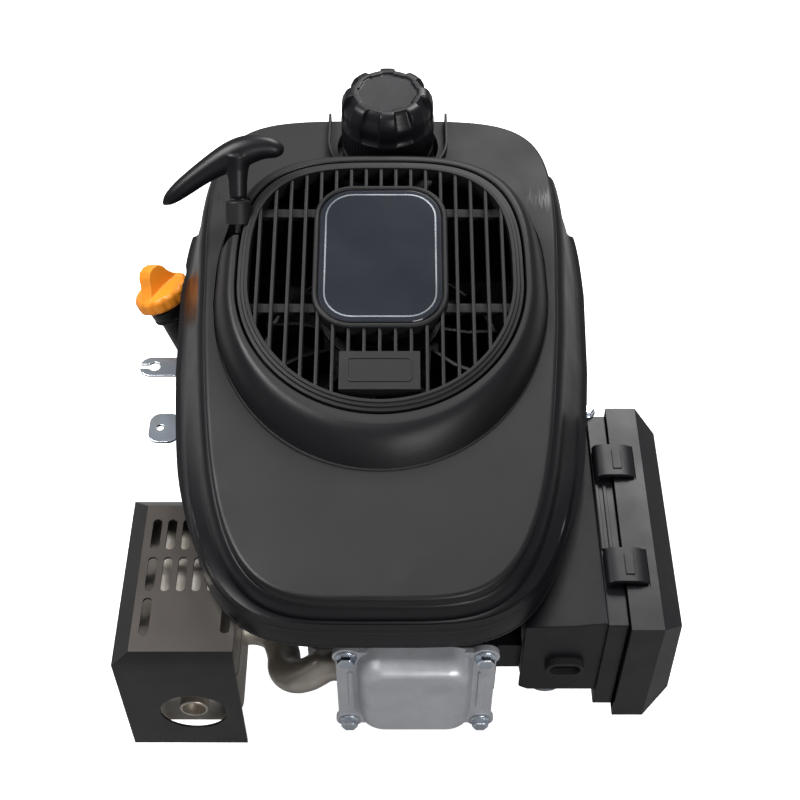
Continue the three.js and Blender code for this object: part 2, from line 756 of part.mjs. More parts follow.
// The U-shaped wall that sheds spilt fuel to the back, standing on the moulded top.
function dripWall() {
  const [cx, cy] = CAP_PLACE;
  const s = new THREE.Shape();
  s.moveTo(cx + 44, cy + 28);
  s.lineTo(cx + 44, cy);
  s.absarc(cx, cy, 44, 0, -Math.PI, true);
  s.lineTo(cx - 44, cy + 28);
  s.lineTo(cx - 42, cy + 28);
  s.lineTo(cx - 42, cy);
  s.absarc(cx, cy, 42, -Math.PI, 0, false);
  s.lineTo(cx + 42, cy + 28);
  return slab(s, 234.5, 243, 7);
}

const SKIRT_REAR = 125; // the tank shows behind the blower housing

// The floor of the blower housing. Cooling air leaves through its middle and over the cylinder.
function blowerFloor() {
  const [z0, z1] = [145.8, 148.2];
  const through = (x0, x1, y0, y1) => box(x0, x1, y0, y1, z0 - 1, z1 + 1);
  const inside = outline(around(RING_POINTS, (t) => ovalPoint(t, flared(23 - WALL / 2))));
  return cut(
    slab(inside, z0, z1),
    hole(FLYWHEEL_R + 4, z0 - 1, z1 + 1),
    through(-55, 34, -205, -80),
    through(-118, -84, -16, 24), // clear of the brake lever
    through(133, 200, -230, -36), // clear of the air cleaner
    through(-200, 200, 91, 260), // clear of the fuel tank
    ...COIL_POSTS.map(([x, y]) => hole(6, z0 - 1, z1 + 1, x, y)),
  );
}

function blowerHousing() {
  const ring = (d, height) => onOval(flared(d), height, RING_POINTS);
  const under = (depth) => (y, x) => topHeight(y, x) - depth;
  const shell = skin(
    [
      ring(-6, under(8)),
      ring(0, under(7.4)),
      ring(8, under(20)),
      ring(17, (y) => 176 + 0.03 * y),
      ring(22, 165),
      ring(26, 162),
      ring(26, 158),
      ring(23, 156),
      ring(23, 148),
      ring(23 - WALL, 148),
      ring(22 - WALL, 163),
      ring(17 - WALL, (y) => 174 + 0.03 * y),
      ring(8 - WALL, under(20 + 1)),
      ring(-6, under(8 + WALL)),
    ].toReversed(),
    false,
  );
  // Relieved round the oil cap and over the air cleaner.
  return cut(
    join(shell, blowerFloor()),
    box(-200, 200, SKIRT_REAR, 260, 100, 280),
    bar(25, onFiller(-5), onFiller(60)),
    box(142, 200, -230, -36, 140, 158),
  );
}

function fuelTank() {
  const [cx, cy] = CAP_PLACE;
  const ring = (d, z) => onOval(flared(d), z, RING_POINTS);
  const sides = (wall) => [
    ring(-4 - wall, 131 + wall),
    ring(3 - wall, 140 + wall),
    ring(3 - wall, 200),
    ring(-8 - wall, 224 - wall),
  ];
  const moulded = (wall) =>
    cut(
      skin(sides(wall), true),
      box(-200, 200, -300, 92 + wall, 0, 300),
      post(FLYWHEEL_R + 10 + wall, 100, 300),
    );
  return cut(join(moulded(0), post(31, 222, 246, cx, cy)), moulded(3), hole(27, 215, 260, cx, cy));
}

// ---------- caps ----------
function fuelCap() {
  const [cx, cy] = CAP_PLACE;
  const lobes = around(8, (t) =>
    box(24, 34, -5, 5, 243, 279).rotate([0, 0, THREE.MathUtils.radToDeg(t)]),
  );
  const body = join(
    turned([[0, 242], [33.5, 242], [33.5, 262], [31, 266], [31, 281], [25, 286], [0, 286]], 24),
    ...lobes.map((m) => m.intersect(post(33.5, 243, 279))),
  );
  return cut(body, hole(31.5, 240, 249)).translate([cx, cy, 0]);
}
const fuelCapSeal = () =>
  cut(post(30.5, 246 + GAP, 248.6, ...CAP_PLACE), hole(22, 240, 255, ...CAP_PLACE));

// The oil filler leans out and back from the crankcase.
const FILLER_TOP = at(-163, 80, 138);
const FILLER_UP = at(-0.38, 0.25, 0.89).normalize();
const onFiller = (d) => FILLER_TOP.clone().addScaledVector(FILLER_UP, d);

function oilFillerTube() {
  return cut(
    join(bar(13, onFiller(-112), onFiller(0)), bar(16, onFiller(-10), onFiller(0))),
    borer(9.5, onFiller(-104), onFiller(1)),
    borer(6, onFiller(-114), onFiller(1)),
  );
}

function oilCap() {
  const grip = join(
    bar(22, onFiller(3), onFiller(12)),
    bar(22, onFiller(12), onFiller(15), 19),
    finOnCap(),
  );
  return join(grip, bar(8.5, onFiller(-14), onFiller(4)), bar(2.2, onFiller(-100), onFiller(-13)));
}

// The finger grip across the cap: a web that rises to a blunt point.
function finOnCap() {
  const [halfWidth, thickness] = [20, 9];
  const profile = outline([
    [-halfWidth, 10],
    [-9, 14],
    [-5, 26],
    [0, 29],
    [5, 26],
    [9, 14],
    [halfWidth, 10],
    [12, 8],
    [-12, 8],
  ]);
  const across = at(0.5, 0.86, 0).projectOnPlane(FILLER_UP).normalize();
  const through = new THREE.Vector3().crossVectors(across, FILLER_UP);
  return solid(
    new THREE.ExtrudeGeometry(profile, { depth: thickness, bevelEnabled: false })
      .translate(0, 0, -thickness / 2)
      .applyMatrix4(new THREE.Matrix4().makeBasis(across, FILLER_UP, through))
      .translate(...FILLER_TOP),
  );
}
const oilCapSeal = () => cut(bar(14, onFiller(0.4), onFiller(2.6)), borer(9, onFiller(-1), onFiller(4)));

// ---------- exhaust ----------
const GUARD = { x0: -168, x1: -91, y0: -225, y1: -99, z0: 22, z1: 140, bevel: 12 };

function guardBlock(inset) {
  const g = GUARD;
  const [x0, x1] = [g.x0 + inset, g.x1 + inset];
  const [y0, y1] = [g.y0 + inset, g.y1 - inset];
  const [z0, z1] = [g.z0 - 1, g.z1 - inset];
  const b = g.bevel - inset * 0.4;
  const side = outline([[x0, z0], [x1, z0], [x1, z1], [x0 + b, z1], [x0, z1 - b]]);
  const front = outline([[y0, z0], [y1, z0], [y1, z1 - b], [y1 - b, z1], [y0 + 3, z1], [y0, z1 - b]]);
  const alongX = solid(
    new THREE.ExtrudeGeometry(front, { depth: x1 - x0, bevelEnabled: false })
      .applyMatrix4(new THREE.Matrix4().makeBasis(at(0, 1, 0), at(0, 0, 1), at(1, 0, 0)))
      .translate(x0, 0, 0),
  );
  return alongY(side, y0, y1).intersect(alongX);
}

const GUARD_SLOTS = [
  ...[0, 1, 2, 3].map((i) => [-148 + 10 * i, -134, 24]),
  ...[0, 1, 2, 3, 4].map((i) => [-148 + 10 * i, -165, 26]),
  [-148, -197, 28],
  [-97, -197, 24],
];

function mufflerGuard() {
  const g = GUARD;
  const slots = GUARD_SLOTS.map(([x, y, length]) => slab(roundRect(6, length, 2.9, x, y), 120, 150, 2));
  return cut(
    guardBlock(0),
    guardBlock(1.8),
    box(-200, 0, -300, 0, g.z0 - 5, g.z0),
    borer(21, at(-123, -240, 66), at(-123, -200, 66)),
    box(-95, -90, -206, -134, 20, 76),
    ...slots,
  );
}

function muffler() {
  const path = new THREE.CatmullRomCurve3([
    at(-24, -191, 70),
    at(-36, -191.4, 69.4),
    at(-49, -194.5, 62),
    at(-59, -192, 55),
    at(-66, -184, 50),
    at(-68, -170, 46),
    at(-74, -156, 46),
    at(-86, -150, 46),
    at(-100, -150, 46),
  ]);
  const pipe = new THREE.ExtrudeGeometry(new THREE.Shape().absarc(0, 0, 11.5, 0, 2 * Math.PI), {
    steps: 16,
    curveSegments: 8,
    extrudePath: path,
  });
  return join(
    slab(roundRect(62, 104, 14, -125, -163), 34, 126, 4),
    bar(9, at(-123, -205, 66), at(-123, -221, 66)),
    solid(pipe),
    box(-26, -22.4, -205, -178, 54, 86),
  );
}

// ---------- intake ----------
const CARB = at(112, -182, 92);
const insulatorBlock = () =>
  join(box(68.4, 76, -206, -177.5, 62, 118), box(75, 92, -198, -168, 78, 106));

function carburettor() {
  const along = (x) => at(x, CARB.y, CARB.z);
  return cut(
    join(
      bar(17, along(92 + GAP), along(138)),
      box(92 + GAP, 98, CARB.y - 20, CARB.y + 20, CARB.z - 14, CARB.z + 14),
      post(18, 62, CARB.z - 4, CARB.x, CARB.y),
    ),
    borer(10.5, along(90), along(140)),
    hole(3 + GAP, CARB.z - 12, CARB.z + 30, THROTTLE_X, CARB.y),
  );
}

const floatBowl = () =>
  turned([[0, 36], [6, 36], [6, 41], [13, 41.5], [17, 46], [18, 52], [18, 61.7], [0, 61.7]], 20).translate([
    CARB.x,
    CARB.y,
    0,
  ]);

// The throttle butterfly on its spindle, with the lever that turns it.
const THROTTLE_X = 103;
const throttleShaft = () =>
  join(
    post(3, CARB.z - 11, CARB.z + 22, THROTTLE_X, CARB.y),
    bar(9.6, at(THROTTLE_X - 0.7, CARB.y, CARB.z), at(THROTTLE_X + 0.7, CARB.y, CARB.z)),
    slab(roundRect(8, 24, 3.9, THROTTLE_X, CARB.y + 8), CARB.z + 20, CARB.z + 22, 3),
  );

const BASE = { x0: 92, x1: 149, y0: -206, y1: -48, z0: 62, z1: 143 };
function airCleanerBase() {
  const { x0, x1, y0, y1, z0, z1 } = BASE;
  const rise = 4.5; // the top climbs to the cover
  const side = outline([
    [x0 + 6, z0],
    [x1, z0],
    [x1, z1 + rise],
    [x0 + 30, z1],
    [x0, z1 - 2],
    [x0, z0 + 4],
  ]);
  const inside = outline([
    [x0 - 4, z0 - 3],
    [x1 - 9, z0 - 3],
    [x1 - 9, z1 + 2],
    [x0 + 29, z1 - 2.6],
    [x0 + 2.4, z1 - 4.4],
    [x0 - 4, z1 - 4.4],
  ]);
  const duct = cut(alongY(side, y0, y1), alongY(inside, y0 + 2.6, y1 - 2.6));
  const flange = box(x1 - 6, x1 + 7, y0 - 3, y1 + 8, 48, 148.4);
  const tray = box(x1 - 3, x1 + 8, y0 + 2, y1 + 3, 53, 145);
  const outlet = borer(12, at(x1 - 20, CARB.y, CARB.z), at(x1 + 10, CARB.y, CARB.z));
  return cut(join(duct, flange), tray, outlet);
}

const airFilter = () => box(BASE.x1 - 2, BASE.x1 + 18, BASE.y0 + 8, BASE.y1 - 4, 60, 138);

const COVER = { x0: 156.4, x1: 191, y0: -214, y1: -36, z0: 41, z1: 152, bevel: 14 };

// The cover's outside, or its inside at a wall's depth: a block with bevelled outer edges.
function coverBlock(wall, x0) {
  const { x1, bevel } = COVER;
  const [y0, y1] = [COVER.y0 + wall, COVER.y1 - wall];
  const [z0, z1] = [COVER.z0 + wall, COVER.z1 - wall];
  const deepest = x1 + 3 - wall; // a little deeper at the bottom
  const section = outline([
    [x0, z0],
    [x1 - bevel, z0],
    [deepest, z0 + bevel],
    [x1 - wall, z1 - bevel],
    [x1 - bevel, z1],
    [x0, z1],
  ]);
  const plan = outline([
    [x0, y0],
    [x1 - bevel, y0],
    [deepest, y0 + bevel],
    [deepest, y1 - bevel],
    [x1 - bevel, y1],
    [x0, y1],
  ]);
  return alongY(section, y0, y1).intersect(slab(plan, z0 - 1, z1 + 1));
}

function airCleanerCover() {
  const wall = 2.6;
  const notches = LATCHES.map(([, y]) => box(150, 171, y - 14, y + 14, COVER.z1 - 0.9, COVER.z1 + 2));
  return cut(coverBlock(0, COVER.x0), coverBlock(wall, COVER.x0 - 1), ...notches);
}

const LATCHES = [["rear_latch", -84], ["front_latch", -168]];
// A press-down latch on the cover whose lip hooks over the edge of the air-cleaner base.
const latch = (y) =>
  join(
    box(144, 170, y - 13, y + 13, COVER.z1 + 0.4, COVER.z1 + 3.6),
    box(144, 147, y - 13, y + 13, COVER.z1 - 3.2, COVER.z1 + 2),
  );

// ---------- controls and ignition ----------
function controlBracket() {
  const y = 26;
  const tab = slab(roundRect(50, 18, 8.9, -155, y), 124, 126.2);
  return cut(
    join(tab, box(-140, -88.5, y - 9, y + 9, 124, 126.2), box(-91, -88.5, y - 9, y + 9, 100, 126)),
    hole(4, 120, 130, -169, y),
    box(-190, -169, y - 2, y + 2, 120, 130),
  );
}

// The flywheel brake lever: a tab outside, a pivot, and an arm up to a pad on the flywheel's rim.
const BRAKE_PIVOT = at(-112, -22, 0);
function brakeLever() {
  const [z0, z1] = [BRAKE_Z, BRAKE_Z + 2.4];
  const tab = slab(roundRect(22, 26, 8, -155, -34), z0, z1, 4);
  const armShape = outline([
    [-150, -42],
    [-112, -30],
    [-104, -22],
    [-108, -15],
    [-114, -15],
    [-150, -27],
  ]);
  const arm = slab(armShape, z0, z1);
  const padArm = slab(outline([[-116, -26], [-106, -26], [-96, 4], [-104, 8]]), z0, z1);
  const riser = box(-104, -97, -3, 8, z0, 158);
  const pad = cut(box(-98, -80, -5, 10, 149, 158), hole(FLYWHEEL_R + 1.4, 140, 170));
  return cut(
    join(tab, arm, padArm, riser, pad, post(9, z0, z1, BRAKE_PIVOT.x, BRAKE_PIVOT.y)),
    hole(4 + GAP, 110, 140, BRAKE_PIVOT.x, BRAKE_PIVOT.y),
    hole(2.5, 110, 140, -158, -34),
  );
}

// The spark plug leans out of the head's upper left corner.
const PLUG_TIP = at(-12, -153, 88);
const PLUG_AXIS = at(-0.5, -0.75, 0.43).normalize();
const onPlug = (d) => PLUG_TIP.clone().addScaledVector(PLUG_AXIS, d);

const sparkPlug = () =>
  join(
    bar(6.9, onPlug(0), onPlug(17)),
    bar(10, onPlug(16.5), onPlug(25), 10, 6),
    bar(5.5, onPlug(24), onPlug(50)),
  );

const plugBoot = () =>
  cut(
    join(bar(9, onPlug(28), onPlug(60), 8), bar(4, onPlug(52), at(-66, -178, 134))),
    borer(5.5 + GAP, onPlug(20), onPlug(52)),
  );

function ignitionCoil() {
  const body = join(
    box(36, 70, -120, -98, 150, 168),
    box(36, 44, -110, -66, 154, 166),
    box(62, 70, -110, -50, 154, 166),
  );
  return cut(body, post(FLYWHEEL_R + 1.5, 140, 180));
}

// ---------- assembly ----------
const part = new THREE.Group();
const engine = new THREE.Group();
engine.position.z = SHAFT_LENGTH;
part.add(engine);
function add(name, manifold, material) {
  const mesh = new THREE.Mesh(geometryOf(manifold), material);
  mesh.name = name;
  engine.add(mesh);
}

add("cylinder_block", cylinderBlock(), ALLOY);
add("oil_sump", oilSump(), ALLOY);
add("upper_oil_seal", oilSeal(136, 141, 25.5), RUBBER);
add("lower_oil_seal", oilSeal(0.5, 8.5, 21.5), RUBBER);
add("cylinder_head", cylinderHead(), ALLOY);
add("head_gasket", headGasket(), STEEL);
add("valve_cover", valveCover(), ALLOY);
valveBoltPlaces().forEach(([x, z], i) =>
  add(`valve_cover_bolt_${i + 1}`, bolt(at(x, COVER_Y - 3.8, z), at(0, 1, 0), 3, 5.6, 12), ZINC),
);
add("rocker_shaft", rockerShaft(), STEEL);
add("crankshaft_lower", crankshaftLower(), STEEL);
add("crankshaft_upper", crankshaftUpper(), STEEL);
add("crank_pin", crankPin(), STEEL);
add("connecting_rod", connectingRod(), ALLOY);
add("piston", piston(), ALLOY);
add("wrist_pin", wristPin(), STEEL);
add("camshaft", camshaft(), STEEL);
add("intake_valve", valve(1, 13.5), STEEL);
add("exhaust_valve", valve(-1, 12.5), STEEL);
add("intake_rocker", rocker(1), STEEL);
add("exhaust_rocker", rocker(-1), STEEL);
add("intake_pushrod", pushRod(1), STEEL);
add("exhaust_pushrod", pushRod(-1), STEEL);
add("flywheel", flywheel(), ALLOY);
add("cooling_fan", coolingFan(), BLACK_PLASTIC);
add("starter_cup", starterCup(), STEEL);
add("flywheel_nut", flywheelNut(), STEEL);
add("starter_housing", starterHousing(), MATT_PLASTIC);
add("badge_plate", badgePlate(), BLACK_PLASTIC);
add("starter_reel", starterReel(), BLACK_PLASTIC);
add("starter_pawl", starterPawl(), STEEL);
add("recoil_spring", recoilSpring(), STEEL);
add("starter_handle", starterHandle(), BLACK_PLASTIC);
add("starter_rope", starterRope(), CORD);
add("top_cover", join(topCover(), dripWall()), MATT_PLASTIC);
add("blower_housing", blowerHousing(), BLACK_PLASTIC);
add("fuel_tank", fuelTank(), BLACK_PLASTIC);
add("fuel_cap", fuelCap(), BLACK_PLASTIC);
add("fuel_cap_seal", fuelCapSeal(), RUBBER);
add("oil_filler_tube", oilFillerTube(), BLACK_PLASTIC);
add("oil_cap", oilCap(), ORANGE_PLASTIC);
add("oil_cap_seal", oilCapSeal(), RUBBER);
add("muffler", muffler(), STEEL);
add("muffler_guard", mufflerGuard(), BLACK_METAL);
add("insulator_block", insulatorBlock(), BLACK_PLASTIC);
add("carburetor", carburettor(), ALLOY);
add("float_bowl", floatBowl(), ZINC);
add("throttle_shaft", throttleShaft(), STEEL);
add("air_cleaner_base", airCleanerBase(), BLACK_PLASTIC);
add("air_filter", airFilter(), FOAM);
add("air_cleaner_cover", airCleanerCover(), BLACK_PLASTIC);
LATCHES.forEach(([name, y]) => add(name, latch(y), BLACK_PLASTIC));
add("control_bracket", controlBracket(), ZINC);
add("brake_lever", brakeLever(), ZINC);
add("spark_plug", sparkPlug(), STEEL);
add("spark_plug_boot", plugBoot(), RUBBER);
add("ignition_coil", ignitionCoil(), BLACK_METAL);

export default part;
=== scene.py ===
import math

import bmesh
import bpy
from mathutils import Matrix, Vector


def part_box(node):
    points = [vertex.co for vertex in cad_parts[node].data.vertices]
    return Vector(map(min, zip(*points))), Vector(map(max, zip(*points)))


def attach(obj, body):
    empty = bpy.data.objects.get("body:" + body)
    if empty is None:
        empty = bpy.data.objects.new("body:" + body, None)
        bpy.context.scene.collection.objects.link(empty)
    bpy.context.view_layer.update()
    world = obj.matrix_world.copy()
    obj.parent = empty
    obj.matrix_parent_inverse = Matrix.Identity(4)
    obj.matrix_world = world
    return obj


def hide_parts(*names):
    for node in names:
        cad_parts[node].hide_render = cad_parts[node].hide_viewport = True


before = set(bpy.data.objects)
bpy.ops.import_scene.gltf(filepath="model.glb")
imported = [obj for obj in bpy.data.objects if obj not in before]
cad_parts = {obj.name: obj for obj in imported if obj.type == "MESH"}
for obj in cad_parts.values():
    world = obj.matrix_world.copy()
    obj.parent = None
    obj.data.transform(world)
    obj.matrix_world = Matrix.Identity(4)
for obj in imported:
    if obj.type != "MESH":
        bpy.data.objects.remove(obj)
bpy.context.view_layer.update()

# ---------- driving dimensions ----------
MM = 0.001
SHAFT_LENGTH = round(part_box("oil_sump")[0].z / MM)  # the flange lies this far above the floor
AXIS_Z = 84  # height of the cylinder's axis
COVER_Y = -214  # joint face between head and valve cover
HEAD_X = 23
WALL = 2.5  # thickness of the moulded covers
FLYWHEEL_R = 84
HOUSING_TILT = math.radians(12)  # the starter housing leans towards the head
HOUSING_Z = 251
CAP_X, CAP_Y = 4, 145
CARB_X, CARB_Y, CARB_Z = 112, -182, 92

PANEL = dict(a=123, y0=30, rear=146, front=247, rear_power=5, front_power=4.3, taper=0.16)
FOOT = dict(a=113, y0=5, rear=106, front=133, rear_power=3, front_power=2, taper=0)
RIM = dict(a=96, y0=-5, rear=98, front=99, rear_power=3.2, front_power=2, taper=0)

TURN = 2 * math.pi
UP = Vector((0, 0, 1))
RING_POINTS = 144


# ---------- points and outlines ----------
def at(x, y, z):
    return Vector((x, y, z))


def grown(oval, d):
    return {**oval, "a": oval["a"] + d, "rear": oval["rear"] + d, "front": oval["front"] + d}


def flared(d):
    """The covers flare at the sides and stay nearly upright in front and behind."""
    return {
        **PANEL, "a": PANEL["a"] + d, "rear": PANEL["rear"] + 0.28 * d,
        "front": PANEL["front"] + 0.28 * d
    }


def oval_point(angle, oval):
    """A superellipse with its own depth and squareness in front of and behind y0."""
    c, s = math.cos(angle), math.sin(angle)
    power = oval["rear_power"] if s >= 0 else oval["front_power"]
    share = abs(s) ** (2 / power)
    y = oval["y0"] + share * (oval["rear"] if s >= 0 else -oval["front"])
    narrowing = 1 if s >= 0 else 1 - oval["taper"] * share
    return oval["a"] * narrowing * math.copysign(abs(c) ** (2 / power), c), y


def on_oval(oval, height, count=RING_POINTS):
    ring = []
    for i in range(count):
        x, y = oval_point((i + 0.5) / count * TURN, oval)
        ring.append(at(x, y, height(y, x) if callable(height) else height))
    return ring


def top_height(y, x=0):
    """Level over the tank, then falling to the front, and slightly crowned."""
    return 236 - 0.144 * max(0, 90 - y) - 0.00015 * x * x


def leaned(p):
    """From the starter housing's own level to the tilted place it has on the engine."""
    turned = Matrix.Rotation(HOUSING_TILT, 3, "X") @ Vector(p)
    return turned + at(0, 0, HOUSING_Z)


def round_rect(width, height, r, x=0, y=0, steps=8):
    """Points of a rectangle with round corners."""
    points = []
    for corner, (sx, sy) in enumerate([(1, 1), (-1, 1), (-1, -1), (1, -1)]):
        for i in range(steps + 1):
            a = (corner + i / steps) * math.pi / 2
            cx, cy = x + sx * (width / 2 - r), y + sy * (height / 2 - r)
            points.append((cx + r * math.cos(a), cy + r * math.sin(a)))
    return points


def lerp(a, b, t):
    return a + (b - a) * t


def smooth(t):
    t = min(1, max(0, t))
    return t * t * (3 - 2 * t)


# ---------- solids, each a pair of points and faces ----------
def loft(rings, loop=False):
    """Skins a stack of rings. The stack closes on itself, or is capped at both ends."""
    n = len(rings[0])
    points = [p for ring in rings for p in ring]
    faces = []
    for k in range(len(rings) if loop else len(rings) - 1):
        upper = (k + 1) % len(rings) * n
        for i in range(n):
            j = (i + 1) % n
            faces.append([k * n + i, k * n + j, upper + j, upper + i])
    if not loop:
        faces.append(list(range(n))[::-1])
        faces.append(list(range(len(points) - n, len(points))))
    return points, faces


def prism(outline, z0, z1, place=lambda p: p):
    """An outline in XY between two heights, each point then sent through place."""
    return loft([[place(at(x, y, z)) for x, y in outline] for z in (z0, z1)])


def block(x0, x1, y0, y1, z0, z1, place=lambda p: p):
    return prism([(x0, y0), (x1, y0), (x1, y1), (x0, y1)], z0, z1, place)


def along_y(outline, y0, y1):
    """An outline in XZ, extruded along Y."""
    return loft([[at(x, y, z) for x, z in outline] for y in (y0, y1)])


def facing(outlines):
    """Skins outlines in XZ, each given with its own y."""
    return loft([[at(x, y, z) for x, z in outline] for y, outline in outlines])


def square_to(axis):
    """Two directions square to an axis and to each other."""
    side = axis.cross(UP if abs(axis.z) < 0.9 else at(0, 1, 0)).normalized()
    return side, axis.cross(side)


def turned(profile, base, axis, count=48, loop=False, swell=None):
    """A profile of [radius, distance] pairs turned about an axis through base."""
    side, other = square_to(axis)
    rings = []
    for r, d in profile:
        ring = []
        for i in range(count):
            a = i / count * TURN
            radius = swell(r, d, a) if swell else r
            ring.append(base + axis * d + side * (radius * math.cos(a)) + other * (radius * math.sin(a)))
        rings.append(ring)
    return loft(rings, loop)


def bar(r, start, end, end_r=None, count=32):
    axis = (end - start).normalized()
    return turned([(r, 0), (end_r or r, (end - start).length)], start, axis, count)


def post(r, z0, z1, x=0, y=0, count=48):
    return bar(r, at(x, y, z0), at(x, y, z1), count=count)


def curve_through(points, steps=8):
    """A smooth line through a few points."""
    line = []
    ends = [points[0] * 2 - points[1], *points, points[-1] * 2 - points[-2]]
    for a, b, c, d in zip(ends, ends[1:], ends[2:], ends[3:]):
        for i in range(steps):
            t = i / steps
            line.append(
                0.5 * (
                    2 * b + (c - a) * t + (2 * a - 5 * b + 4 * c - d) * t**2 + (3 * b - a - 3 * c + d) * t**3
                )
            )
    return [*line, points[-1]]


def tube(points, r, count=20):
    """A round pipe along a line of points."""
    side = None
    rings = []
    for i, p in enumerate(points):
        axis = (points[min(i + 1, len(points) - 1)] - points[max(i - 1, 0)]).normalized()
        side = square_to(axis)[0] if side is None else (side - axis * side.dot(axis)).normalized()
        other = axis.cross(side)
        radius = r(i / (len(points) - 1)) if callable(r) else r
        rings.append(
            [
                p + (side * math.cos(k / count * TURN) + other * math.sin(k / count * TURN)) * radius
                for k in range(count)
            ]
        )
    return loft(rings)


# ---------- objects ----------
def make(name, *solids):
    """One object out of closed skins."""
    points, faces = [], []
    for part_points, part_faces in solids:
        first = len(points)
        points += [(p + at(0, 0, SHAFT_LENGTH)) * MM for p in part_points]
        faces += [[first + i for i in face] for face in part_faces]
    mesh = bpy.data.meshes.new(name)
    mesh.from_pydata(points, [], faces)
    work = bmesh.new()
    work.from_mesh(mesh)
    bmesh.ops.recalc_face_normals(work, faces=work.faces)
    work.to_mesh(mesh)
    work.free()
    made = bpy.data.objects.new(name, mesh)
    bpy.context.collection.objects.link(made)
    return made


def bake(thing):
    """Makes the object's modifiers part of its mesh."""
    graph = bpy.context.evaluated_depsgraph_get()
    mesh = bpy.data.meshes.new_from_object(thing.evaluated_get(graph))
    thing.modifiers.clear()
    thing.data = mesh


def combine(thing, operation, *tools):
    """Cuts the tools away, joins them on, or keeps what lies inside them."""
    for tool_solid in tools:
        tool = make("tool", tool_solid)
        change = thing.modifiers.new("combine", "BOOLEAN")
        change.operation = operation
        change.solver = "EXACT"
        change.object = tool
        bake(thing)
        bpy.data.objects.remove(tool)
    return thing


def cut(thing, *tools):
    return combine(thing, "DIFFERENCE", *tools)


def melted(thing, grain, passes):
    """Runs the parts of a moulding together with soft fillets."""
    remesh = thing.modifiers.new("melt", "REMESH")
    remesh.mode = "VOXEL"
    remesh.voxel_size = grain * MM
    soften = thing.modifiers.new("soften", "SMOOTH")
    soften.factor = 0.5
    soften.iterations = passes
    bake(thing)
    return thing


def shading_tree():
    """Smooth faces, with a crease wherever two faces meet at more than 38 degrees."""
    tree = bpy.data.node_groups.new("smooth by angle", "GeometryNodeTree")
    tree.interface.new_socket("Geometry", in_out="INPUT", socket_type="NodeSocketGeometry")
    tree.interface.new_socket("Geometry", in_out="OUTPUT", socket_type="NodeSocketGeometry")
    start = tree.nodes.new("NodeGroupInput")
    end = tree.nodes.new("NodeGroupOutput")
    faces = tree.nodes.new("GeometryNodeSetShadeSmooth")
    edges = tree.nodes.new("GeometryNodeSetShadeSmooth")
    edges.domain = "EDGE"
    angle = tree.nodes.new("GeometryNodeInputMeshEdgeAngle")
    shallow = tree.nodes.new("FunctionNodeCompare")
    shallow.operation = "LESS_EQUAL"
    shallow.inputs["B"].default_value = math.radians(38)
    tree.links.new(angle.outputs["Unsigned Angle"], shallow.inputs["A"])
    tree.links.new(start.outputs[0], faces.inputs["Geometry"])
    tree.links.new(faces.outputs[0], edges.inputs["Geometry"])
    tree.links.new(shallow.outputs[0], edges.inputs["Shade Smooth"])
    tree.links.new(edges.outputs[0], end.inputs[0])
    return tree


SHADING = shading_tree()


def rounded(thing, width, segments=2, angle=40):
    """Rounds every sharp edge and shades the faces smooth."""
    if width:
        bevel = thing.modifiers.new("round", "BEVEL")
        bevel.width = width * MM
        bevel.segments = segments
        bevel.limit_method = "ANGLE"
        bevel.angle_limit = math.radians(angle)
        bevel.use_clamp_overlap = True
    shade = thing.modifiers.new("shade", "NODES")
    shade.node_group = SHADING
    level = thing.modifiers.new("level", "WEIGHTED_NORMAL")
    level.keep_sharp = True
    return thing


def finished(thing, look, body, *nodes, edge=0.5):
    """Gives a piece its finish and edges, and sets it on its body in place of the CAD nodes."""
    thing.data.materials.clear()
    thing.data.materials.append(LOOKS[look])
    rounded(thing, edge)
    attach(thing, body)
    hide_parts(*nodes)
    return thing


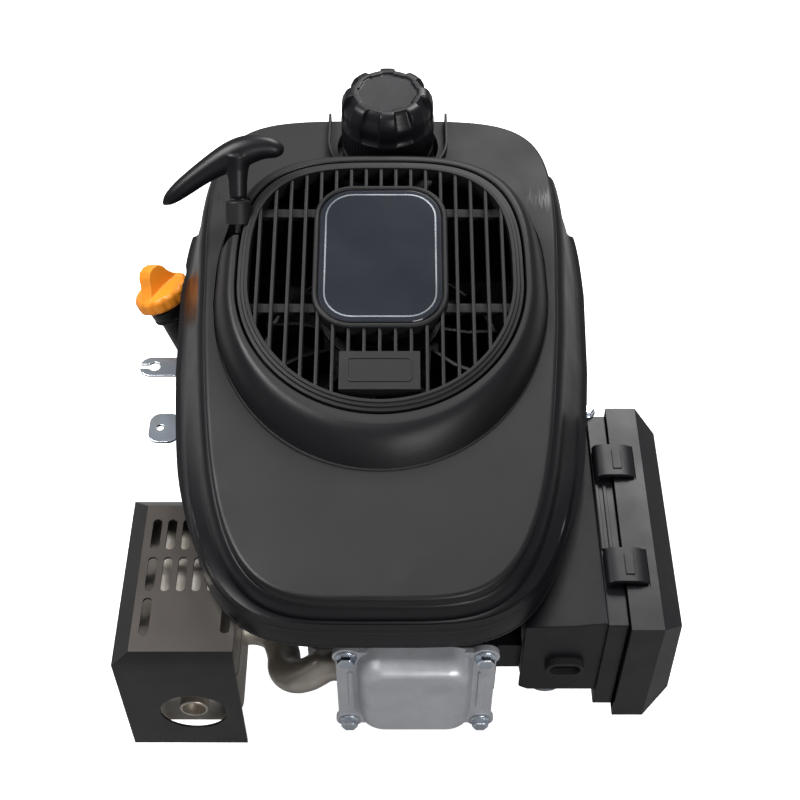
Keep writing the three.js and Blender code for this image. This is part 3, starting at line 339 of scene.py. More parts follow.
# ---------- finishes ----------
class Finish:
    """A procedural material: base colour, mottling, worn edges, grain."""

    def __init__(self, name, colour, roughness, metallic=0.0):
        self.material = bpy.data.materials.new(name)
        self.material.use_nodes = True
        self.nodes = self.material.node_tree.nodes
        self.shader = self.nodes["Principled BSDF"]
        self.shader.inputs["Metallic"].default_value = metallic
        self.place = self.nodes.new("ShaderNodeTexCoord").outputs["Object"]
        self.colour = self.mottled(colour)
        self.roughness = self.spread(self.noise(23, 5), 0.3, 0.7, roughness - 0.05, roughness + 0.07)
        self.bump = None

    def link(self, source, target):
        self.material.node_tree.links.new(source, target)

    def noise(self, scale, detail=4, stretch=None):
        """Noise whose features are about 1 / scale metres across."""
        place = self.place
        if stretch:
            mapping = self.nodes.new("ShaderNodeMapping")
            mapping.inputs["Scale"].default_value = stretch
            self.link(place, mapping.inputs["Vector"])
            place = mapping.outputs[0]
        node = self.nodes.new("ShaderNodeTexNoise")
        node.inputs["Scale"].default_value = scale
        node.inputs["Detail"].default_value = detail
        self.link(place, node.inputs["Vector"])
        return node.outputs["Fac"]

    def spread(self, value, low, high, to_low, to_high):
        node = self.nodes.new("ShaderNodeMapRange")
        for name, number in (("From Min", low), ("From Max", high), ("To Min", to_low), ("To Max", to_high)):
            node.inputs[name].default_value = number
        self.link(value, node.inputs["Value"])
        return node.outputs["Result"]

    def mixed(self, factor, first, second):
        node = self.nodes.new("ShaderNodeMix")
        node.data_type = "RGBA"
        self.link(factor, node.inputs["Factor"])
        for socket, value in ((node.inputs[6], first), (node.inputs[7], second)):
            if isinstance(value, tuple):
                socket.default_value = (*value, 1)
            else:
                self.link(value, socket)
        return node.outputs[2]

    def mottled(self, colour, amount=0.07):
        dark = tuple(c * (1 - amount) for c in colour)
        light = tuple(min(1, c * (1 + amount)) for c in colour)
        return self.mixed(self.spread(self.noise(31, 6), 0.35, 0.65, 0, 1), dark, light)

    def worn(self, colour, strength=0.5):
        """Rubbed edges show a second colour."""
        rounded_off = self.nodes.new("ShaderNodeBevel")
        rounded_off.samples = 3
        rounded_off.inputs["Radius"].default_value = 0.9 * MM
        agreement = self.nodes.new("ShaderNodeVectorMath")
        agreement.operation = "DOT_PRODUCT"
        self.link(rounded_off.outputs[0], agreement.inputs[0])
        self.link(self.nodes.new("ShaderNodeNewGeometry").outputs["Normal"], agreement.inputs[1])
        share = self.spread(agreement.outputs["Value"], 0.995, 0.93, 0, strength)
        self.colour = self.mixed(share, self.colour, colour)
        return self

    def patched(self, colour, scale, low, high, strength):
        """Cloudy patches of a second colour, such as dust, dirt or heat tint."""
        self.colour = self.mixed(
            self.spread(self.noise(scale, 8), low, high, 0, strength), self.colour, colour
        )
        return self

    def grained(self, scale, height, detail=3, stretch=None):
        node = self.nodes.new("ShaderNodeBump")
        node.inputs["Strength"].default_value = 1
        node.inputs["Distance"].default_value = height * MM
        self.link(self.noise(scale, detail, stretch), node.inputs["Height"])
        if self.bump:
            self.link(self.bump, node.inputs["Normal"])
        self.bump = node.outputs[0]
        return self

    def lit_on_top_and_duller(self, colour, rise):
        """Level faces are more finely textured, so duller than the slopes, and they are painted lighter: the
        lighter colour is painted light from above.
        """
        normal = self.nodes.new("ShaderNodeSeparateXYZ")
        self.link(self.nodes.new("ShaderNodeNewGeometry").outputs["True Normal"], normal.inputs[0])
        share = self.spread(normal.outputs["Z"], 0.955, 0.988, 0, 1)
        # painted light: up-facing faces take the lighter colour
        self.colour = self.mixed(share, self.colour, colour)
        duller = self.nodes.new("ShaderNodeMath")
        duller.operation = "MULTIPLY_ADD"
        duller.inputs[1].default_value = rise
        self.link(share, duller.inputs[0])
        self.link(self.roughness, duller.inputs[2])
        self.roughness = duller.outputs[0]
        return self

    def done(self, coat=0.0, sheen=0.26):
        self.shader.inputs["Coat Weight"].default_value = coat
        self.shader.inputs["Specular IOR Level"].default_value = sheen
        self.link(self.colour, self.shader.inputs["Base Color"])
        self.link(self.roughness, self.shader.inputs["Roughness"])
        if self.bump:
            self.link(self.bump, self.shader.inputs["Normal"])
        return self.material


def moulded_plastic(name, colour, roughness, grain):
    finish = Finish(name, colour, roughness)
    return finish.patched(
        (0.1, 0.095, 0.09), 40, 0.6, 0.85, 0.06
    ).grained(1600, grain).grained(60, 0.12).done()


def moulded_top():
    """The top is polished on its slopes and grained on its level panel. The level panel is also painted
    lighter, as painted light from above.
    """
    finish = Finish("moulded top", (0.006, 0.006, 0.0072), 0.38).lit_on_top_and_duller((0.012, 0.012, 0.0125), 0.2)
    return finish.patched((0.1, 0.095, 0.09), 40, 0.62, 0.85, 0.05).grained(1600, 0.05).done()


def cast_alloy():
    finish = Finish("cast alloy", (0.46, 0.47, 0.5), 0.44, 0.55).worn((0.66, 0.67, 0.69), 0.4)
    return finish.patched((0.2, 0.19, 0.18), 55, 0.5, 0.8, 0.3).grained(900, 0.08).grained(210, 0.1).done()


def steel():
    finish = Finish("steel", (0.42, 0.42, 0.43), 0.3, 1).worn((0.75, 0.75, 0.76), 0.4)
    return finish.grained(700, 0.02, stretch=(1, 1, 0.05)).done()


def hot_steel():
    finish = Finish(
        "hot steel", (0.46, 0.43, 0.39), 0.36, 0.9
    ).patched((0.26, 0.18, 0.11), 45, 0.45, 0.8, 0.45)
    return finish.grained(500, 0.06).done()


def zinc():
    finish = Finish("zinc", (0.5, 0.56, 0.64), 0.24, 1).patched((0.6, 0.57, 0.5), 90, 0.45, 0.75, 0.35)
    return finish.worn((0.85, 0.87, 0.9), 0.5).grained(600, 0.025).done()


def black_metal():
    finish = Finish("black metal", (0.009, 0.0085, 0.0085), 0.34, 0.2).worn((0.1, 0.095, 0.09), 0.3)
    # painted reflection: level faces such as the guard's top get a warm grey that stands for the lamp light
    # they reflect
    finish.lit_on_top_and_duller((0.05, 0.043, 0.038), 0.04)
    return finish.patched((0.03, 0.026, 0.022), 35, 0.45, 0.8, 0.2).grained(1100, 0.03).done(0.1)


def orange_plastic():
    finish = Finish("orange plastic", (0.83, 0.27, 0.02), 0.36).worn((0.95, 0.45, 0.1), 0.4)
    return finish.patched((0.2, 0.08, 0.02), 70, 0.52, 0.85, 0.35).grained(1500, 0.03).done()


def rubber():
    return Finish("rubber", (0.016, 0.016, 0.017), 0.72).grained(1300, 0.06).grained(150, 0.1).done()


def foam():
    return Finish("foam", (0.07, 0.07, 0.06), 0.95).grained(1400, 0.8, 6).done()


def cord():
    return Finish("cord", (0.05, 0.05, 0.055), 0.85).grained(900, 0.5, 2, (1, 1, 0.4)).done()


def badge_lacquer():
    finish = Finish("badge lacquer", (0.012, 0.014, 0.02), 0.22)
    return finish.grained(900, 0.01).grained(40, 0.1).done(0.4)


LOOKS = {
    "gloss_black": moulded_plastic("gloss black plastic", (0.0045, 0.0045, 0.006), 0.36, 0.02),
    "matt_black": moulded_plastic("matt black plastic", (0.009, 0.009, 0.0098), 0.5, 0.05),
    "moulded_top": moulded_top(),
    "cast_alloy": cast_alloy(),
    "steel": steel(),
    "hot_steel": hot_steel(),
    "zinc": zinc(),
    "black_metal": black_metal(),
    "orange": orange_plastic(),
    "rubber": rubber(),
    "foam": foam(),
    "cord": cord(),
    "badge": badge_lacquer(),
}


# ---------- moulded top and blower housing ----------
def rim_ring(d, z):
    """A ring round the starter opening, at a height above the starter housing's own level."""
    return [
        leaned(at(*oval_point((i + 0.5) / RING_POINTS * TURN, grown(RIM, d)), z))
        for i in range(RING_POINTS)
    ]


def between(inner, outer, share, height):
    """A ring between two others, in plan, with its own height rule."""
    return [at(*lerp(p, q, share).xy, height(p, q)) for p, q in zip(inner, outer)]


def stepped(p, q, distance, drop):
    """From p towards q by a distance, or by a fifth of the way where they lie close, on the moulded top."""
    gap = (q - p).length
    place = lerp(p, q, min(distance / gap, 0.05 * distance))
    return at(place.x, place.y, top_height(place.y, place.x) - drop)


def top_rings():
    collar = rim_ring(3, -3.4)
    foot = on_oval(FOOT, top_height)
    rings = [rim_ring(0.5, -12), rim_ring(0.5, -4.2), rim_ring(1.1, -3.5), collar]
    for k in range(1, 10):
        t = k / 10
        rings.append(between(collar, foot, t, lambda p, q: lerp(p.z, q.z - 0.8, t**2.2)))
    edge = on_oval(grown(PANEL, -3), top_height)
    for d, drop in ((0, 1.1), (1.4, 1.1), (2.6, 0.2), (4, 0)):
        rings.append([stepped(p, q, d, drop) for p, q in zip(foot, edge)])
    start = rings[-1]
    for k in range(1, 5):
        rings.append(between(start, edge, k / 5, lambda p, q: top_height(*lerp(p, q, k / 5).yx)))
    for d, drop in ((-3, 0), (-1.4, 0.3), (-0.4, 1.2), (0, 2.6), (0, 7), (-WALL, 7), (-WALL, 3), (-6, WALL)):
        rings.append(on_oval(grown(PANEL, d), lambda y, x: top_height(y, x) - drop))
    rings.append(on_oval(grown(FOOT, 1), lambda y, x: top_height(y, x) - WALL - 1))
    rings.append([p - at(0, 0, 6) for p in rim_ring(3, -4)])
    return rings


def drip_wall():
    """The U-shaped wall that sheds spilt fuel to the back."""
    outer, inner = 44, 42
    arc = [math.radians(a) for a in range(-180, 1, 6)]
    line = [(CAP_X - outer, CAP_Y + 30)]
    line += [(CAP_X + outer * math.cos(a), CAP_Y + outer * math.sin(a)) for a in arc]
    line += [(CAP_X + outer, CAP_Y + 30), (CAP_X + inner, CAP_Y + 30)]
    line += [(CAP_X + inner * math.cos(a), CAP_Y + inner * math.sin(a)) for a in reversed(arc)]
    line += [(CAP_X - inner, CAP_Y + 30)]
    return prism(line, 234.5, 243)


def top_cover():
    cover = make("top_cover_shell", loft(top_rings(), loop=True))
    cut(cover, post(37, 200, 260, CAP_X, CAP_Y, 72), bar(11, on_cord(-60), on_cord(10)))
    finished(cover, "moulded_top", "engine", "top_cover", edge=0.6)
    finished(make("top_cover_drip_wall", drip_wall()), "matt_black", "engine", edge=0.7)
    collar = [(33.4, 226), (33.4, 238.5), (32.8, 239.4), (31.8, 239.4), (31.8, 226)]
    finished(
        make("filler_collar", turned(collar, at(CAP_X, CAP_Y, 0), UP, 72, loop=True)), "matt_black",
        "engine"
    )


SKIRT_REAR = 125  # the tank shows behind the blower housing


def blower_housing():
    def under(depth):
        return lambda y, x: top_height(y, x) - depth

    def wide(d, height):
        return on_oval(flared(d), height)

    def quiet_in_front(ring, plain):
        """The lip stands out at the sides and dies away in front."""
        return [lerp(p, q, smooth((-p.y - 90) / 110)) for p, q in zip(ring, plain)]

    rings = [wide(-6, under(8)), wide(-1.5, under(7.6)), wide(1.2, under(8.2))]
    rings += [wide(3.6, under(10)), wide(5.6, under(12.8)), wide(7, under(16.2))]
    for k in range(0, 9):
        t = k / 8
        rings.append(wide(8 + 9 * t**1.25, lambda y, x: lerp(top_height(y, x) - 20, 176 + 0.03 * y, t)))
    lip = [
        (18.6, 171.5), (20.6, 167.4), (22.6, 165), (24.4, 164.2), (25.8, 163.4), (26, 162.4),
        (25.2, 161.4)
    ]
    lip += [(25.2, 160.4), (26, 159.6), (26, 158), (25.2, 156.8), (23.4, 156), (23, 155), (23, 148)]
    rings += [quiet_in_front(wide(d, z), wide(17 + 0.3 * (d - 17), z)) for d, z in lip]
    rings += [wide(23 - WALL, 148), wide(22 - WALL, 163), wide(17 - WALL, lambda y, x: 174 + 0.03 * y)]
    rings += [wide(8 - WALL, under(21)), wide(-6, under(8 + WALL))]
    floor = make(
        "blower_floor",
        prism([oval_point((i + 0.5) / 96 * TURN, flared(21)) for i in range(96)], 145.8, 148)
    )
    cut(
        floor,
        post(FLYWHEEL_R + 4, 140, 150, count=96),
        block(-55, 34, -205, -80, 140, 150),
        block(-118, -84, -16, 24, 140, 150),
        block(133, 200, -230, -36, 140, 150),
        block(-200, 200, 91, 260, 140, 150),
        bar(25, on_filler(-5), on_filler(60)),
        *[post(6, 140, 150, x, -106) for x in (40, 64)],
    )
    finished(floor, "matt_black", "engine", edge=0.3)
    housing = make("blower_housing_shell", loft(rings, loop=True))
    cut(
        housing,
        block(-200, 200, SKIRT_REAR, 260, 100, 280),
        bar(25, on_filler(-5), on_filler(60)),
        block(142, 200, -230, -36, 140, 158),
    )
    finished(housing, "gloss_black", "engine", "blower_housing", edge=0.4)


def fuel_tank():
    stations = [(-10, 131), (-4, 132), (0, 135), (3, 141), (3, 168), (3.9, 168.8), (3.9, 171.2), (3, 172)]
    stations += [(3, 200), (1, 210), (-3, 219), (-8, 224)]
    tank = make("fuel_tank_body", loft([on_oval(flared(d), z) for d, z in stations]))
    cut(tank, block(-200, 200, -300, 92, 0, 300), post(FLYWHEEL_R + 10, 100, 300, count=96))
    combine(tank, "UNION", post(31, 215, 246, CAP_X, CAP_Y, 64))
    cut(tank, post(27, 160, 260, CAP_X, CAP_Y, 64))
    finished(tank, "gloss_black", "engine", "fuel_tank", edge=1.2)


# ---------- starter housing and its grille ----------
SLAT_PITCH = 10.2
SLAT = 2.4
RAILS = (52, -24)
FRAME_Y = 13


def reach(value, oval, across):
    """How far an oval reaches across at a given x or y, both ways."""
    if across == "y":
        rear = oval["rear"] * (1 - (abs(value) / oval["a"]) ** oval["rear_power"]) ** (1 / oval["rear_power"])
        front = oval["front"] * (
            1 - (abs(value) / oval["a"]) ** oval["front_power"]
        ) ** (1 / oval["front_power"])
        return oval["y0"] - front, oval["y0"] + rear
    offset = value - oval["y0"]
    depth, power = (oval["rear"], oval["rear_power"]) if offset > 0 else (oval["front"], oval["front_power"])
    half = oval["a"] * (1 - (abs(offset) / depth) ** power) ** (1 / power)
    return -half, half


def slats():
    inside = grown(RIM, -7)
    made = []
    for i in range(-8, 9):
        x = i * SLAT_PITCH
        front, rear = reach(x, inside, "y")
        if abs(x) < 27:
            front = -62
        made.append(block(x - SLAT / 2, x + SLAT / 2, front, rear, -8, -1, leaned))
    return made


def starter_housing():
    steps = [
        (-1, -13), (-1, -3.4), (-3.3, -3.2), (-3.5, -1.6), (-5.7, -1.4), (-5.9, -0.2), (-8.2, -0.2),
        (-8.4, -13)
    ]
    ring = make("starter_housing_ring", loft([rim_ring(d, z) for d, z in steps], loop=True))
    finished(ring, "matt_black", "engine", "starter_housing", edge=0.35)

    rails = []
    for y in RAILS:
        x0, x1 = reach(y, grown(RIM, -7), "x")
        rails.append(block(x0, x1, y - 3.5, y + 3.5, -12, -7.5, leaned))
    finished(make("starter_grille_slats", *slats()), "matt_black", "engine", edge=0.8)
    finished(make("starter_grille_rails", *rails), "matt_black", "engine", edge=0.7)

    def frame_ring(inset, z):
        return [
            leaned(at(x, y, z))
            for x, y in round_rect(90 - 2 * inset, 113 - 2 * inset, 26 - inset, 0, FRAME_Y)
        ]

    border = [
        (0, -9), (0, -0.6), (0.4, 0.3), (1.2, 0.9), (2.2, 1), (3, 0.6), (3.5, -0.2), (3.6, -1.4),
        (3.6, -9)
    ]
    finished(
        make(
            "starter_badge_frame",
            loft([frame_ring(i, z) for i, z in border], loop=True),
            loft([frame_ring(3.6, -3), frame_ring(3.6, -0.9)]),
        ),
        "matt_black",
        "engine",
        edge=0,
    )
    plate_y = (-89, -61)
    panel_rim = round_rect(42, 18, 3, 0, -74.5, 4)
    inner_rim = round_rect(39.6, 15.6, 2, 0, -74.5, 4)
    frame_rings = [[leaned(at(x, y, z)) for x, y in line] for line, z in ((panel_rim, -1), (panel_rim, 0.5))]
    frame_rings += [[leaned(at(x, y, z)) for x, y in line] for line, z in ((inner_rim, 0.5), (inner_rim, -1))]
    finished(
        make("starter_lower_plate", block(-26, 26, *plate_y, -9, 0, leaned), loft(frame_rings, loop=True)),
        "matt_black",
        "engine",
        edge=0.4,
    )
    hub = turned(
        [(9, 204), (9, 223), (38, 223), (38, 233), (34, 233), (34, 230), (9, 230), (9, 244)],
        at(0, 0, 0), UP
    )
    eyelet = [(3.2, -16), (9, -16), (9, -2), (8.2, -0.6), (6.5, 0), (4.6, -0.6), (3.2, -3)]
    finished(
        make(
            "starter_hub", hub, turned(eyelet, STARTER_EXIT, PULL, 40, loop=True)
        ), "matt_black", "engine", edge=0.4
    )


def badge():
    def plate(inset, z):
        return [
            leaned(at(x, y, z))
            for x, y in round_rect(82 - 2 * inset, 105 - 2 * inset, 22.5 - inset, 0, FRAME_Y)
        ]

    face = [(0, -0.6), (0, 0), (0.5, 0.5), (1.4, 0.6)]
    finished(
        make("badge_face", loft([plate(i, z) for i, z in face])), "badge", "engine", "badge_plate",
        edge=0
    )
    line = [(3.6, 0.4), (3.6, 0.75), (4.6, 0.75), (4.6, 0.4)]
    finished(make("badge_border", loft([plate(i, z) for i, z in line], loop=True)), "zinc", "engine", edge=0)


# ---------- pull starter ----------
STARTER_EXIT = at(-97, 54, 265)
PULL = at(0, 0.62, 0.78).normalized()
CORD_R = 2.2


def on_cord(d):
    return STARTER_EXIT + PULL * d


def starter_handle():
    """A curved grip across the cord: its left arm is the longer one and droops."""
    tips_and_crown = [on_cord(d) + at(x, 0, 0) for x, d in ((-51, -3), (10, 48), (31, 31))]
    left, crown, right = tips_and_crown
    thick = PULL.cross(at(1, 0, 0)).normalized()
    steps = 40
    rings = []
    for i in range(steps + 1):
        t = i / steps
        centre = left * (1 - t) ** 2 + crown * (2 * t * (1 - t)) + right * t**2
        along = ((crown - left) * (1 - t) + (right - crown) * t).normalized()
        out = along.cross(thick).normalized()
        round_end = math.sqrt(max(0.02, 1 - abs(2 * t - 1) ** 7))
        swelling = math.exp(-(((t - 0.52) / 0.24) ** 2))
        width = (6.8 + 3.4 * swelling) * round_end
        depth = (7 + 2 * swelling) * round_end
        rings.append(
            [
                centre + out * (width * math.cos(k / 24 * TURN)) + thick * (depth * math.sin(k / 24 * TURN))
                for k in range(24)
            ]
        )
    stem = turned([(5.6, 1), (6.4, 3), (6.6, 12), (7.6, 20), (10.5, 30)], STARTER_EXIT, PULL, 32)
    ridge = bar(1.8, on_cord(4) + thick * 5.2, on_cord(32) + thick * 7, 2.6, 16)
    hollows = [bar(4.5, on_cord(19) + at(x, 0, 0) + thick * 9, on_cord(26) + at(1.6 * x, 0, 0) + thick * 10)
               for x in (-15, 13)]
    handle = make("starter_handle_grip", loft(rings), stem, ridge)
    melted(handle, 0.8, 5)
    cut(handle, *hollows, bar(CORD_R + 0.3, on_cord(-3), on_cord(20), count=24))
    finished(handle, "gloss_black", "handle", "starter_handle", edge=0)


def starter_rope():
    rope = make("starter_rope_cord", tube([on_cord(d) for d in range(-22, 19, 2)], CORD_R, 16))
    finished(rope, "cord", "handle", "starter_rope", edge=0)


# ---------- caps ----------
def fuel_cap():
    lobes = 8

    def castle(a):
        """1 on a castellation, 0 in the gap beside it."""
        wave = math.cos(lobes * a)
        return smooth((wave + 0.25) / 0.5)

    def crown(r, d, a):
        share = castle(a)
        if d < 262.5:
            return r + (0.35 * (math.cos(72 * a) - 1) if 245 < d < 260 else 0)
        gap = r - 1.3 * smooth((d - 262) / 3)
        if d > 274:
            gap -= 2.6 * smooth((d - 274) / 5) * smooth((r - 25) / 3)
        return lerp(gap, r, share)

    profile = [
        (31.5, 249), (31.5, 242), (33.3, 242), (33.5, 243), (33.5, 245), (33.5, 246), (33.5, 259),
        (33.5, 260)
    ]
    profile += [
        (33.5, 262), (32.6, 263.4), (32.6, 266), (33, 269), (33, 272), (32.8, 275), (32.4, 278),
        (31.2, 280.4)
    ]
    profile += [
        (30.2, 282.6), (29, 284.2), (27.4, 285.4), (25.4, 286), (22.4, 286), (21.8, 285.7),
        (21.5, 284.8)
    ]
    profile += [(20.6, 284.4), (2, 284.6)]
    cap = make("fuel_cap_knob", turned(profile, at(CAP_X, CAP_Y, 0), UP, 288, swell=crown))
    finished(cap, "gloss_black", "fuel_cap", "fuel_cap", edge=0)


FILLER_TOP = at(-163, 80, 138)
FILLER_UP = at(-0.38, 0.25, 0.89).normalized()


def on_filler(d):
    return FILLER_TOP + FILLER_UP * d


def oil_filler_tube():
    profile = [
        (9.5, -104), (12.6, -112), (12.6, -12), (14, -10.5), (16, -10), (16, -8.4), (15, -7.8),
        (15, -6.2)
    ]
    profile += [(16, -5.6), (16, -0.6), (15.4, 0), (9.5, 0)]
    tube_piece = make("oil_filler_neck", turned(profile, FILLER_TOP, FILLER_UP, 48, loop=True))
    finished(tube_piece, "gloss_black", "engine", "oil_filler_tube", edge=0.4)


def oil_cap():
    across = FILLER_UP.cross(at(-0.5, -0.86, 0)).normalized().cross(FILLER_UP).normalized()
    thick = FILLER_UP.cross(across).normalized()

    def scallops(r, d, a):
        return r - (1.1 * max(0, math.cos(14 * a)) if r > 20 and 4 < d < 13 else 0)

    disc_profile = [(20.5, 3), (22, 4.4), (22, 6), (22, 11), (21.6, 12.6), (19.6, 14.4), (17, 15), (6, 16)]
    disc = turned(disc_profile, FILLER_TOP, FILLER_UP, 168, swell=scallops)
    half_grip = [(20, 9), (18.5, 14), (14, 18), (10.5, 23), (8.5, 28.5), (5, 32), (0, 33)]
    outline = [(-w, h) for w, h in half_grip] + half_grip[-2::-1]
    fin = loft([[on_filler(h) + across * w + thick * t for w, h in outline] for t in (-6, 6)])
    plug = turned([(8.5, -14), (8.5, 5)], FILLER_TOP, FILLER_UP)
    cap = melted(make("oil_cap_grip", disc, fin, plug), 0.75, 4)
    finished(cap, "orange", "oil_cap", "oil_cap", edge=0)
    stick = turned([(2.2, -100), (2.2, -13)], FILLER_TOP, FILLER_UP, 20)
    finished(make("dipstick", stick), "steel", "oil_cap", edge=0.4)


# ---------- exhaust ----------
GUARD = dict(x0=-168, x1=-91, y0=-225, y1=-99, z0=22, z1=140, bevel=12)
SHEET = 1.8


def guard_block(inset):
    x0, x1 = GUARD["x0"] + inset, GUARD["x1"] + inset
    y0, y1 = GUARD["y0"] + inset, GUARD["y1"] - inset
    z0, z1 = GUARD["z0"] - 1, GUARD["z1"] - inset
    b = GUARD["bevel"] - 0.4 * inset
    side = [(x0, z0), (x1, z0), (x1, z1), (x0 + b, z1), (x0, z1 - b)]
    front = [(y0, z0), (y1, z0), (y1, z1 - b), (y1 - b, z1), (y0 + 3, z1), (y0, z1 - b)]
    return along_y(side, y0, y1), loft([[at(x, y, z) for y, z in front] for x in (x0, x1)])


def muffler_guard():
    outer = guard_block(0)
    inner = guard_block(SHEET)
    guard = combine(make("muffler_guard_sheet", outer[0]), "INTERSECT", outer[1])
    hollow = combine(make("hollow", inner[0]), "INTERSECT", inner[1])
    change = guard.modifiers.new("hollow", "BOOLEAN")
    change.operation = "DIFFERENCE"
    change.solver = "EXACT"
    change.object = hollow
    bake(guard)
    bpy.data.objects.remove(hollow)
    rows = [(-148 + 10 * i, -134, 24) for i in range(4)] + [(-148 + 10 * i, -165, 26) for i in range(5)]
    rows += [(-148, -197, 28), (-97, -197, 24)]
    openings = [prism(round_rect(6, length, 2.9, x, y, 6), 120, 150) for x, y, length in rows]
    cut(
        guard,
        block(-200, 0, -300, 0, 0, GUARD["z0"]),
        bar(22, at(-123, -240, 66), at(-123, -200, 66), count=64),
        block(-95, -85, -206, -134, 10, 76),
        *openings,
    )
    finished(guard, "black_metal", "engine", "muffler_guard", edge=0.7)


def muffler():
    can = [(1.5, 34), (0, 36), (0, 78), (1.6, 79), (1.6, 81), (0, 82), (0, 124), (1.5, 126)]
    body = loft(
        [[at(x, y, z) for x, y in round_rect(62 - 2 * i, 104 - 2 * i, 14 - i, -125, -163)] for i, z in can]
    )
    spout = [(8, 0), (9.6, 0), (9.6, 15), (9, 16), (7.6, 16), (7.6, 2)]
    corners = [
        (-24, -191, 70), (-36, -191.4, 69.4), (-49, -194.5, 62), (-59, -192, 55), (-66, -184, 50),
        (-68, -170, 46)
    ]
    corners += [(-74, -156, 46), (-86, -150, 46), (-100, -150, 46)]
    pipe = tube(curve_through([at(*c) for c in corners]), 11.5, 32)
    flange = [(y, z) for y, z in round_rect(27, 32, 6, -191.5, 70)]
    plate = loft([[at(x, y, z) for y, z in flange] for x in (-26.2, -22.4)])
    finished(
        make("muffler_can", body, turned(spout, at(-123, -207, 66), at(0, -1, 0), 40, loop=True)),
        "hot_steel",
        "engine",
        "muffler",
        edge=0.6,
    )
    finished(make("exhaust_pipe", pipe, plate), "hot_steel", "engine", edge=0.5)


# ---------- head ----------
BOLT_PLACES = [(HEAD_X + 44 * sx, AXIS_Z - 1 + 42 * sz) for sx in (-1, 1) for sz in (-1, 1)]


def bolt_solids(head, into, head_r, shank_r, shank):
    """A hexagon head with a washer face, standing on "head", its shank going "into"."""
    out = -into
    flange = [(head_r * 1.24, 0), (head_r * 1.24, 0.9), (head_r * 1.05, 1.6), (head_r, 1.8)]
    hexagon = [(head_r * 1.02, 1.4), (head_r * 1.02, head_r * 0.85), (head_r * 0.86, head_r), (0.5, head_r)]
    return (
        turned(flange, head, out, 40),
        turned(hexagon, head, out, 6),
        turned([(shank_r, -shank), (shank_r, 0.5)], head, out, 20),
    )


def valve_cover():
    z = AXIS_Z + 7
    sections = [(-214.6, 76, 84, 15), (-216.5, 74.6, 82.6, 14.6), (-220, 73, 81, 14.4), (-224.5, 71, 79, 14)]
    sections += [
        (-226, 70.2, 78.2, 14), (-228.6, 68.6, 76.6, 13.6), (-230.8, 66, 74, 13),
        (-232.3, 62.4, 70.4, 12)
    ]
    sections += [(-233, 58, 66, 11)]
    dome = facing([(y, round_rect(w, h, r, HEAD_X, z)) for y, w, h, r in sections])
    plate = facing([(y, round_rect(102, 94, 9, HEAD_X, AXIS_Z - 1)) for y in (-213.3, -217.3)])
    ribs = [
        along_y(round_rect(3, 46, 1.4, HEAD_X + side * 42, AXIS_Z, 3), -218.8, -213.4) for side in (-1, 1)
    ]
    bosses = [bar(9, at(x, -217.6, bz), at(x, -213.4, bz)) for x, bz in BOLT_PLACES]
    creases = [
        facing([(y, round_rect(50, 0.9, 0.4, HEAD_X, z + dz, 3)) for y in (-230, -233)]) for dz in (-14, 14)
    ]
    cover = make("valve_cover_casting", dome, plate, *ribs, *bosses, *creases)
    finished(cover, "cast_alloy", "engine", "valve_cover", edge=0.7)
    for i, (x, bz) in enumerate(BOLT_PLACES, 1):
        bolt = make(f"valve_cover_screw_{i}", *bolt_solids(at(x, COVER_Y - 3.8, bz), at(0, 1, 0), 5.6, 3, 12))
        finished(bolt, "zinc", "engine", f"valve_cover_bolt_{i}", edge=0.3)


PLUG_TIP = at(-12, -153, 88)
PLUG_AXIS = at(-0.5, -0.75, 0.43).normalized()


def plug_boot():
    boot = turned(
        [
            (5.8, 28), (9.2, 28), (9.2, 31), (8.4, 32), (8.4, 34), (9, 35), (8.2, 52), (7.4, 60),
            (5.8, 61), (5.8, 50)
        ],
        PLUG_TIP,
        PLUG_AXIS,
        40,
        loop=True,
    )
    tip = PLUG_TIP + PLUG_AXIS * 54
    cable = tube(curve_through([tip, at(-48, -196, 116), at(-58, -190, 127), at(-66, -178, 134)]), 3.4, 20)
    finished(make("spark_plug_lead", boot, cable), "rubber", "engine", "spark_plug_boot", edge=0.4)


# ---------- intake ----------
BASE = dict(x0=92, x1=149, y0=-206, y1=-48, z0=62, z1=143)
COVER = dict(x0=156.4, x1=191, y0=-214, y1=-36, z0=41, z1=152, bevel=14)
LATCHES = {"rear_latch": -84, "front_latch": -168}


def cover_blocks(i, x0):
    y0, y1 = COVER["y0"] + i, COVER["y1"] - i
    z0, z1 = COVER["z0"] + i, COVER["z1"] - i
    x1, b, low = COVER["x1"], COVER["bevel"], 3
    section = [(x0, z0), (x1 - b, z0), (x1 + low - i, z0 + b), (x1 - i, z1 - b), (x1 - b, z1), (x0, z1)]
    plan = [(x0, y0), (x1 - b, y0), (x1 + low - i, y0 + b), (x1 + low - i, y1 - b), (x1 - b, y1), (x0, y1)]
    return along_y(section, y0, y1), prism(plan, z0 - 1, z1 + 1)


def air_cleaner_cover():
    outer = cover_blocks(0, COVER["x0"])
    inner = cover_blocks(2.6, COVER["x0"] - 1)
    cover = combine(make("air_cleaner_shell", outer[0]), "INTERSECT", outer[1])
    cut(cover, block(150, 159.4, -209, -41, 46, 147))
    cut(cover, combine_pair(inner))
    for y in LATCHES.values():
        cut(cover, block(150, 171.5, y - 14, y + 14, 151, 156))
    finished(cover, "gloss_black", "air_cleaner_cover", "air_cleaner_cover", edge=2.2)


def combine_pair(pair):
    """What two solids have in common, as one solid."""
    both = combine(make("common", pair[0]), "INTERSECT", pair[1])
    points = [v.co / MM - at(0, 0, SHAFT_LENGTH) for v in both.data.vertices]
    faces = [list(f.vertices) for f in both.data.polygons]
    bpy.data.objects.remove(both)
    return points, faces


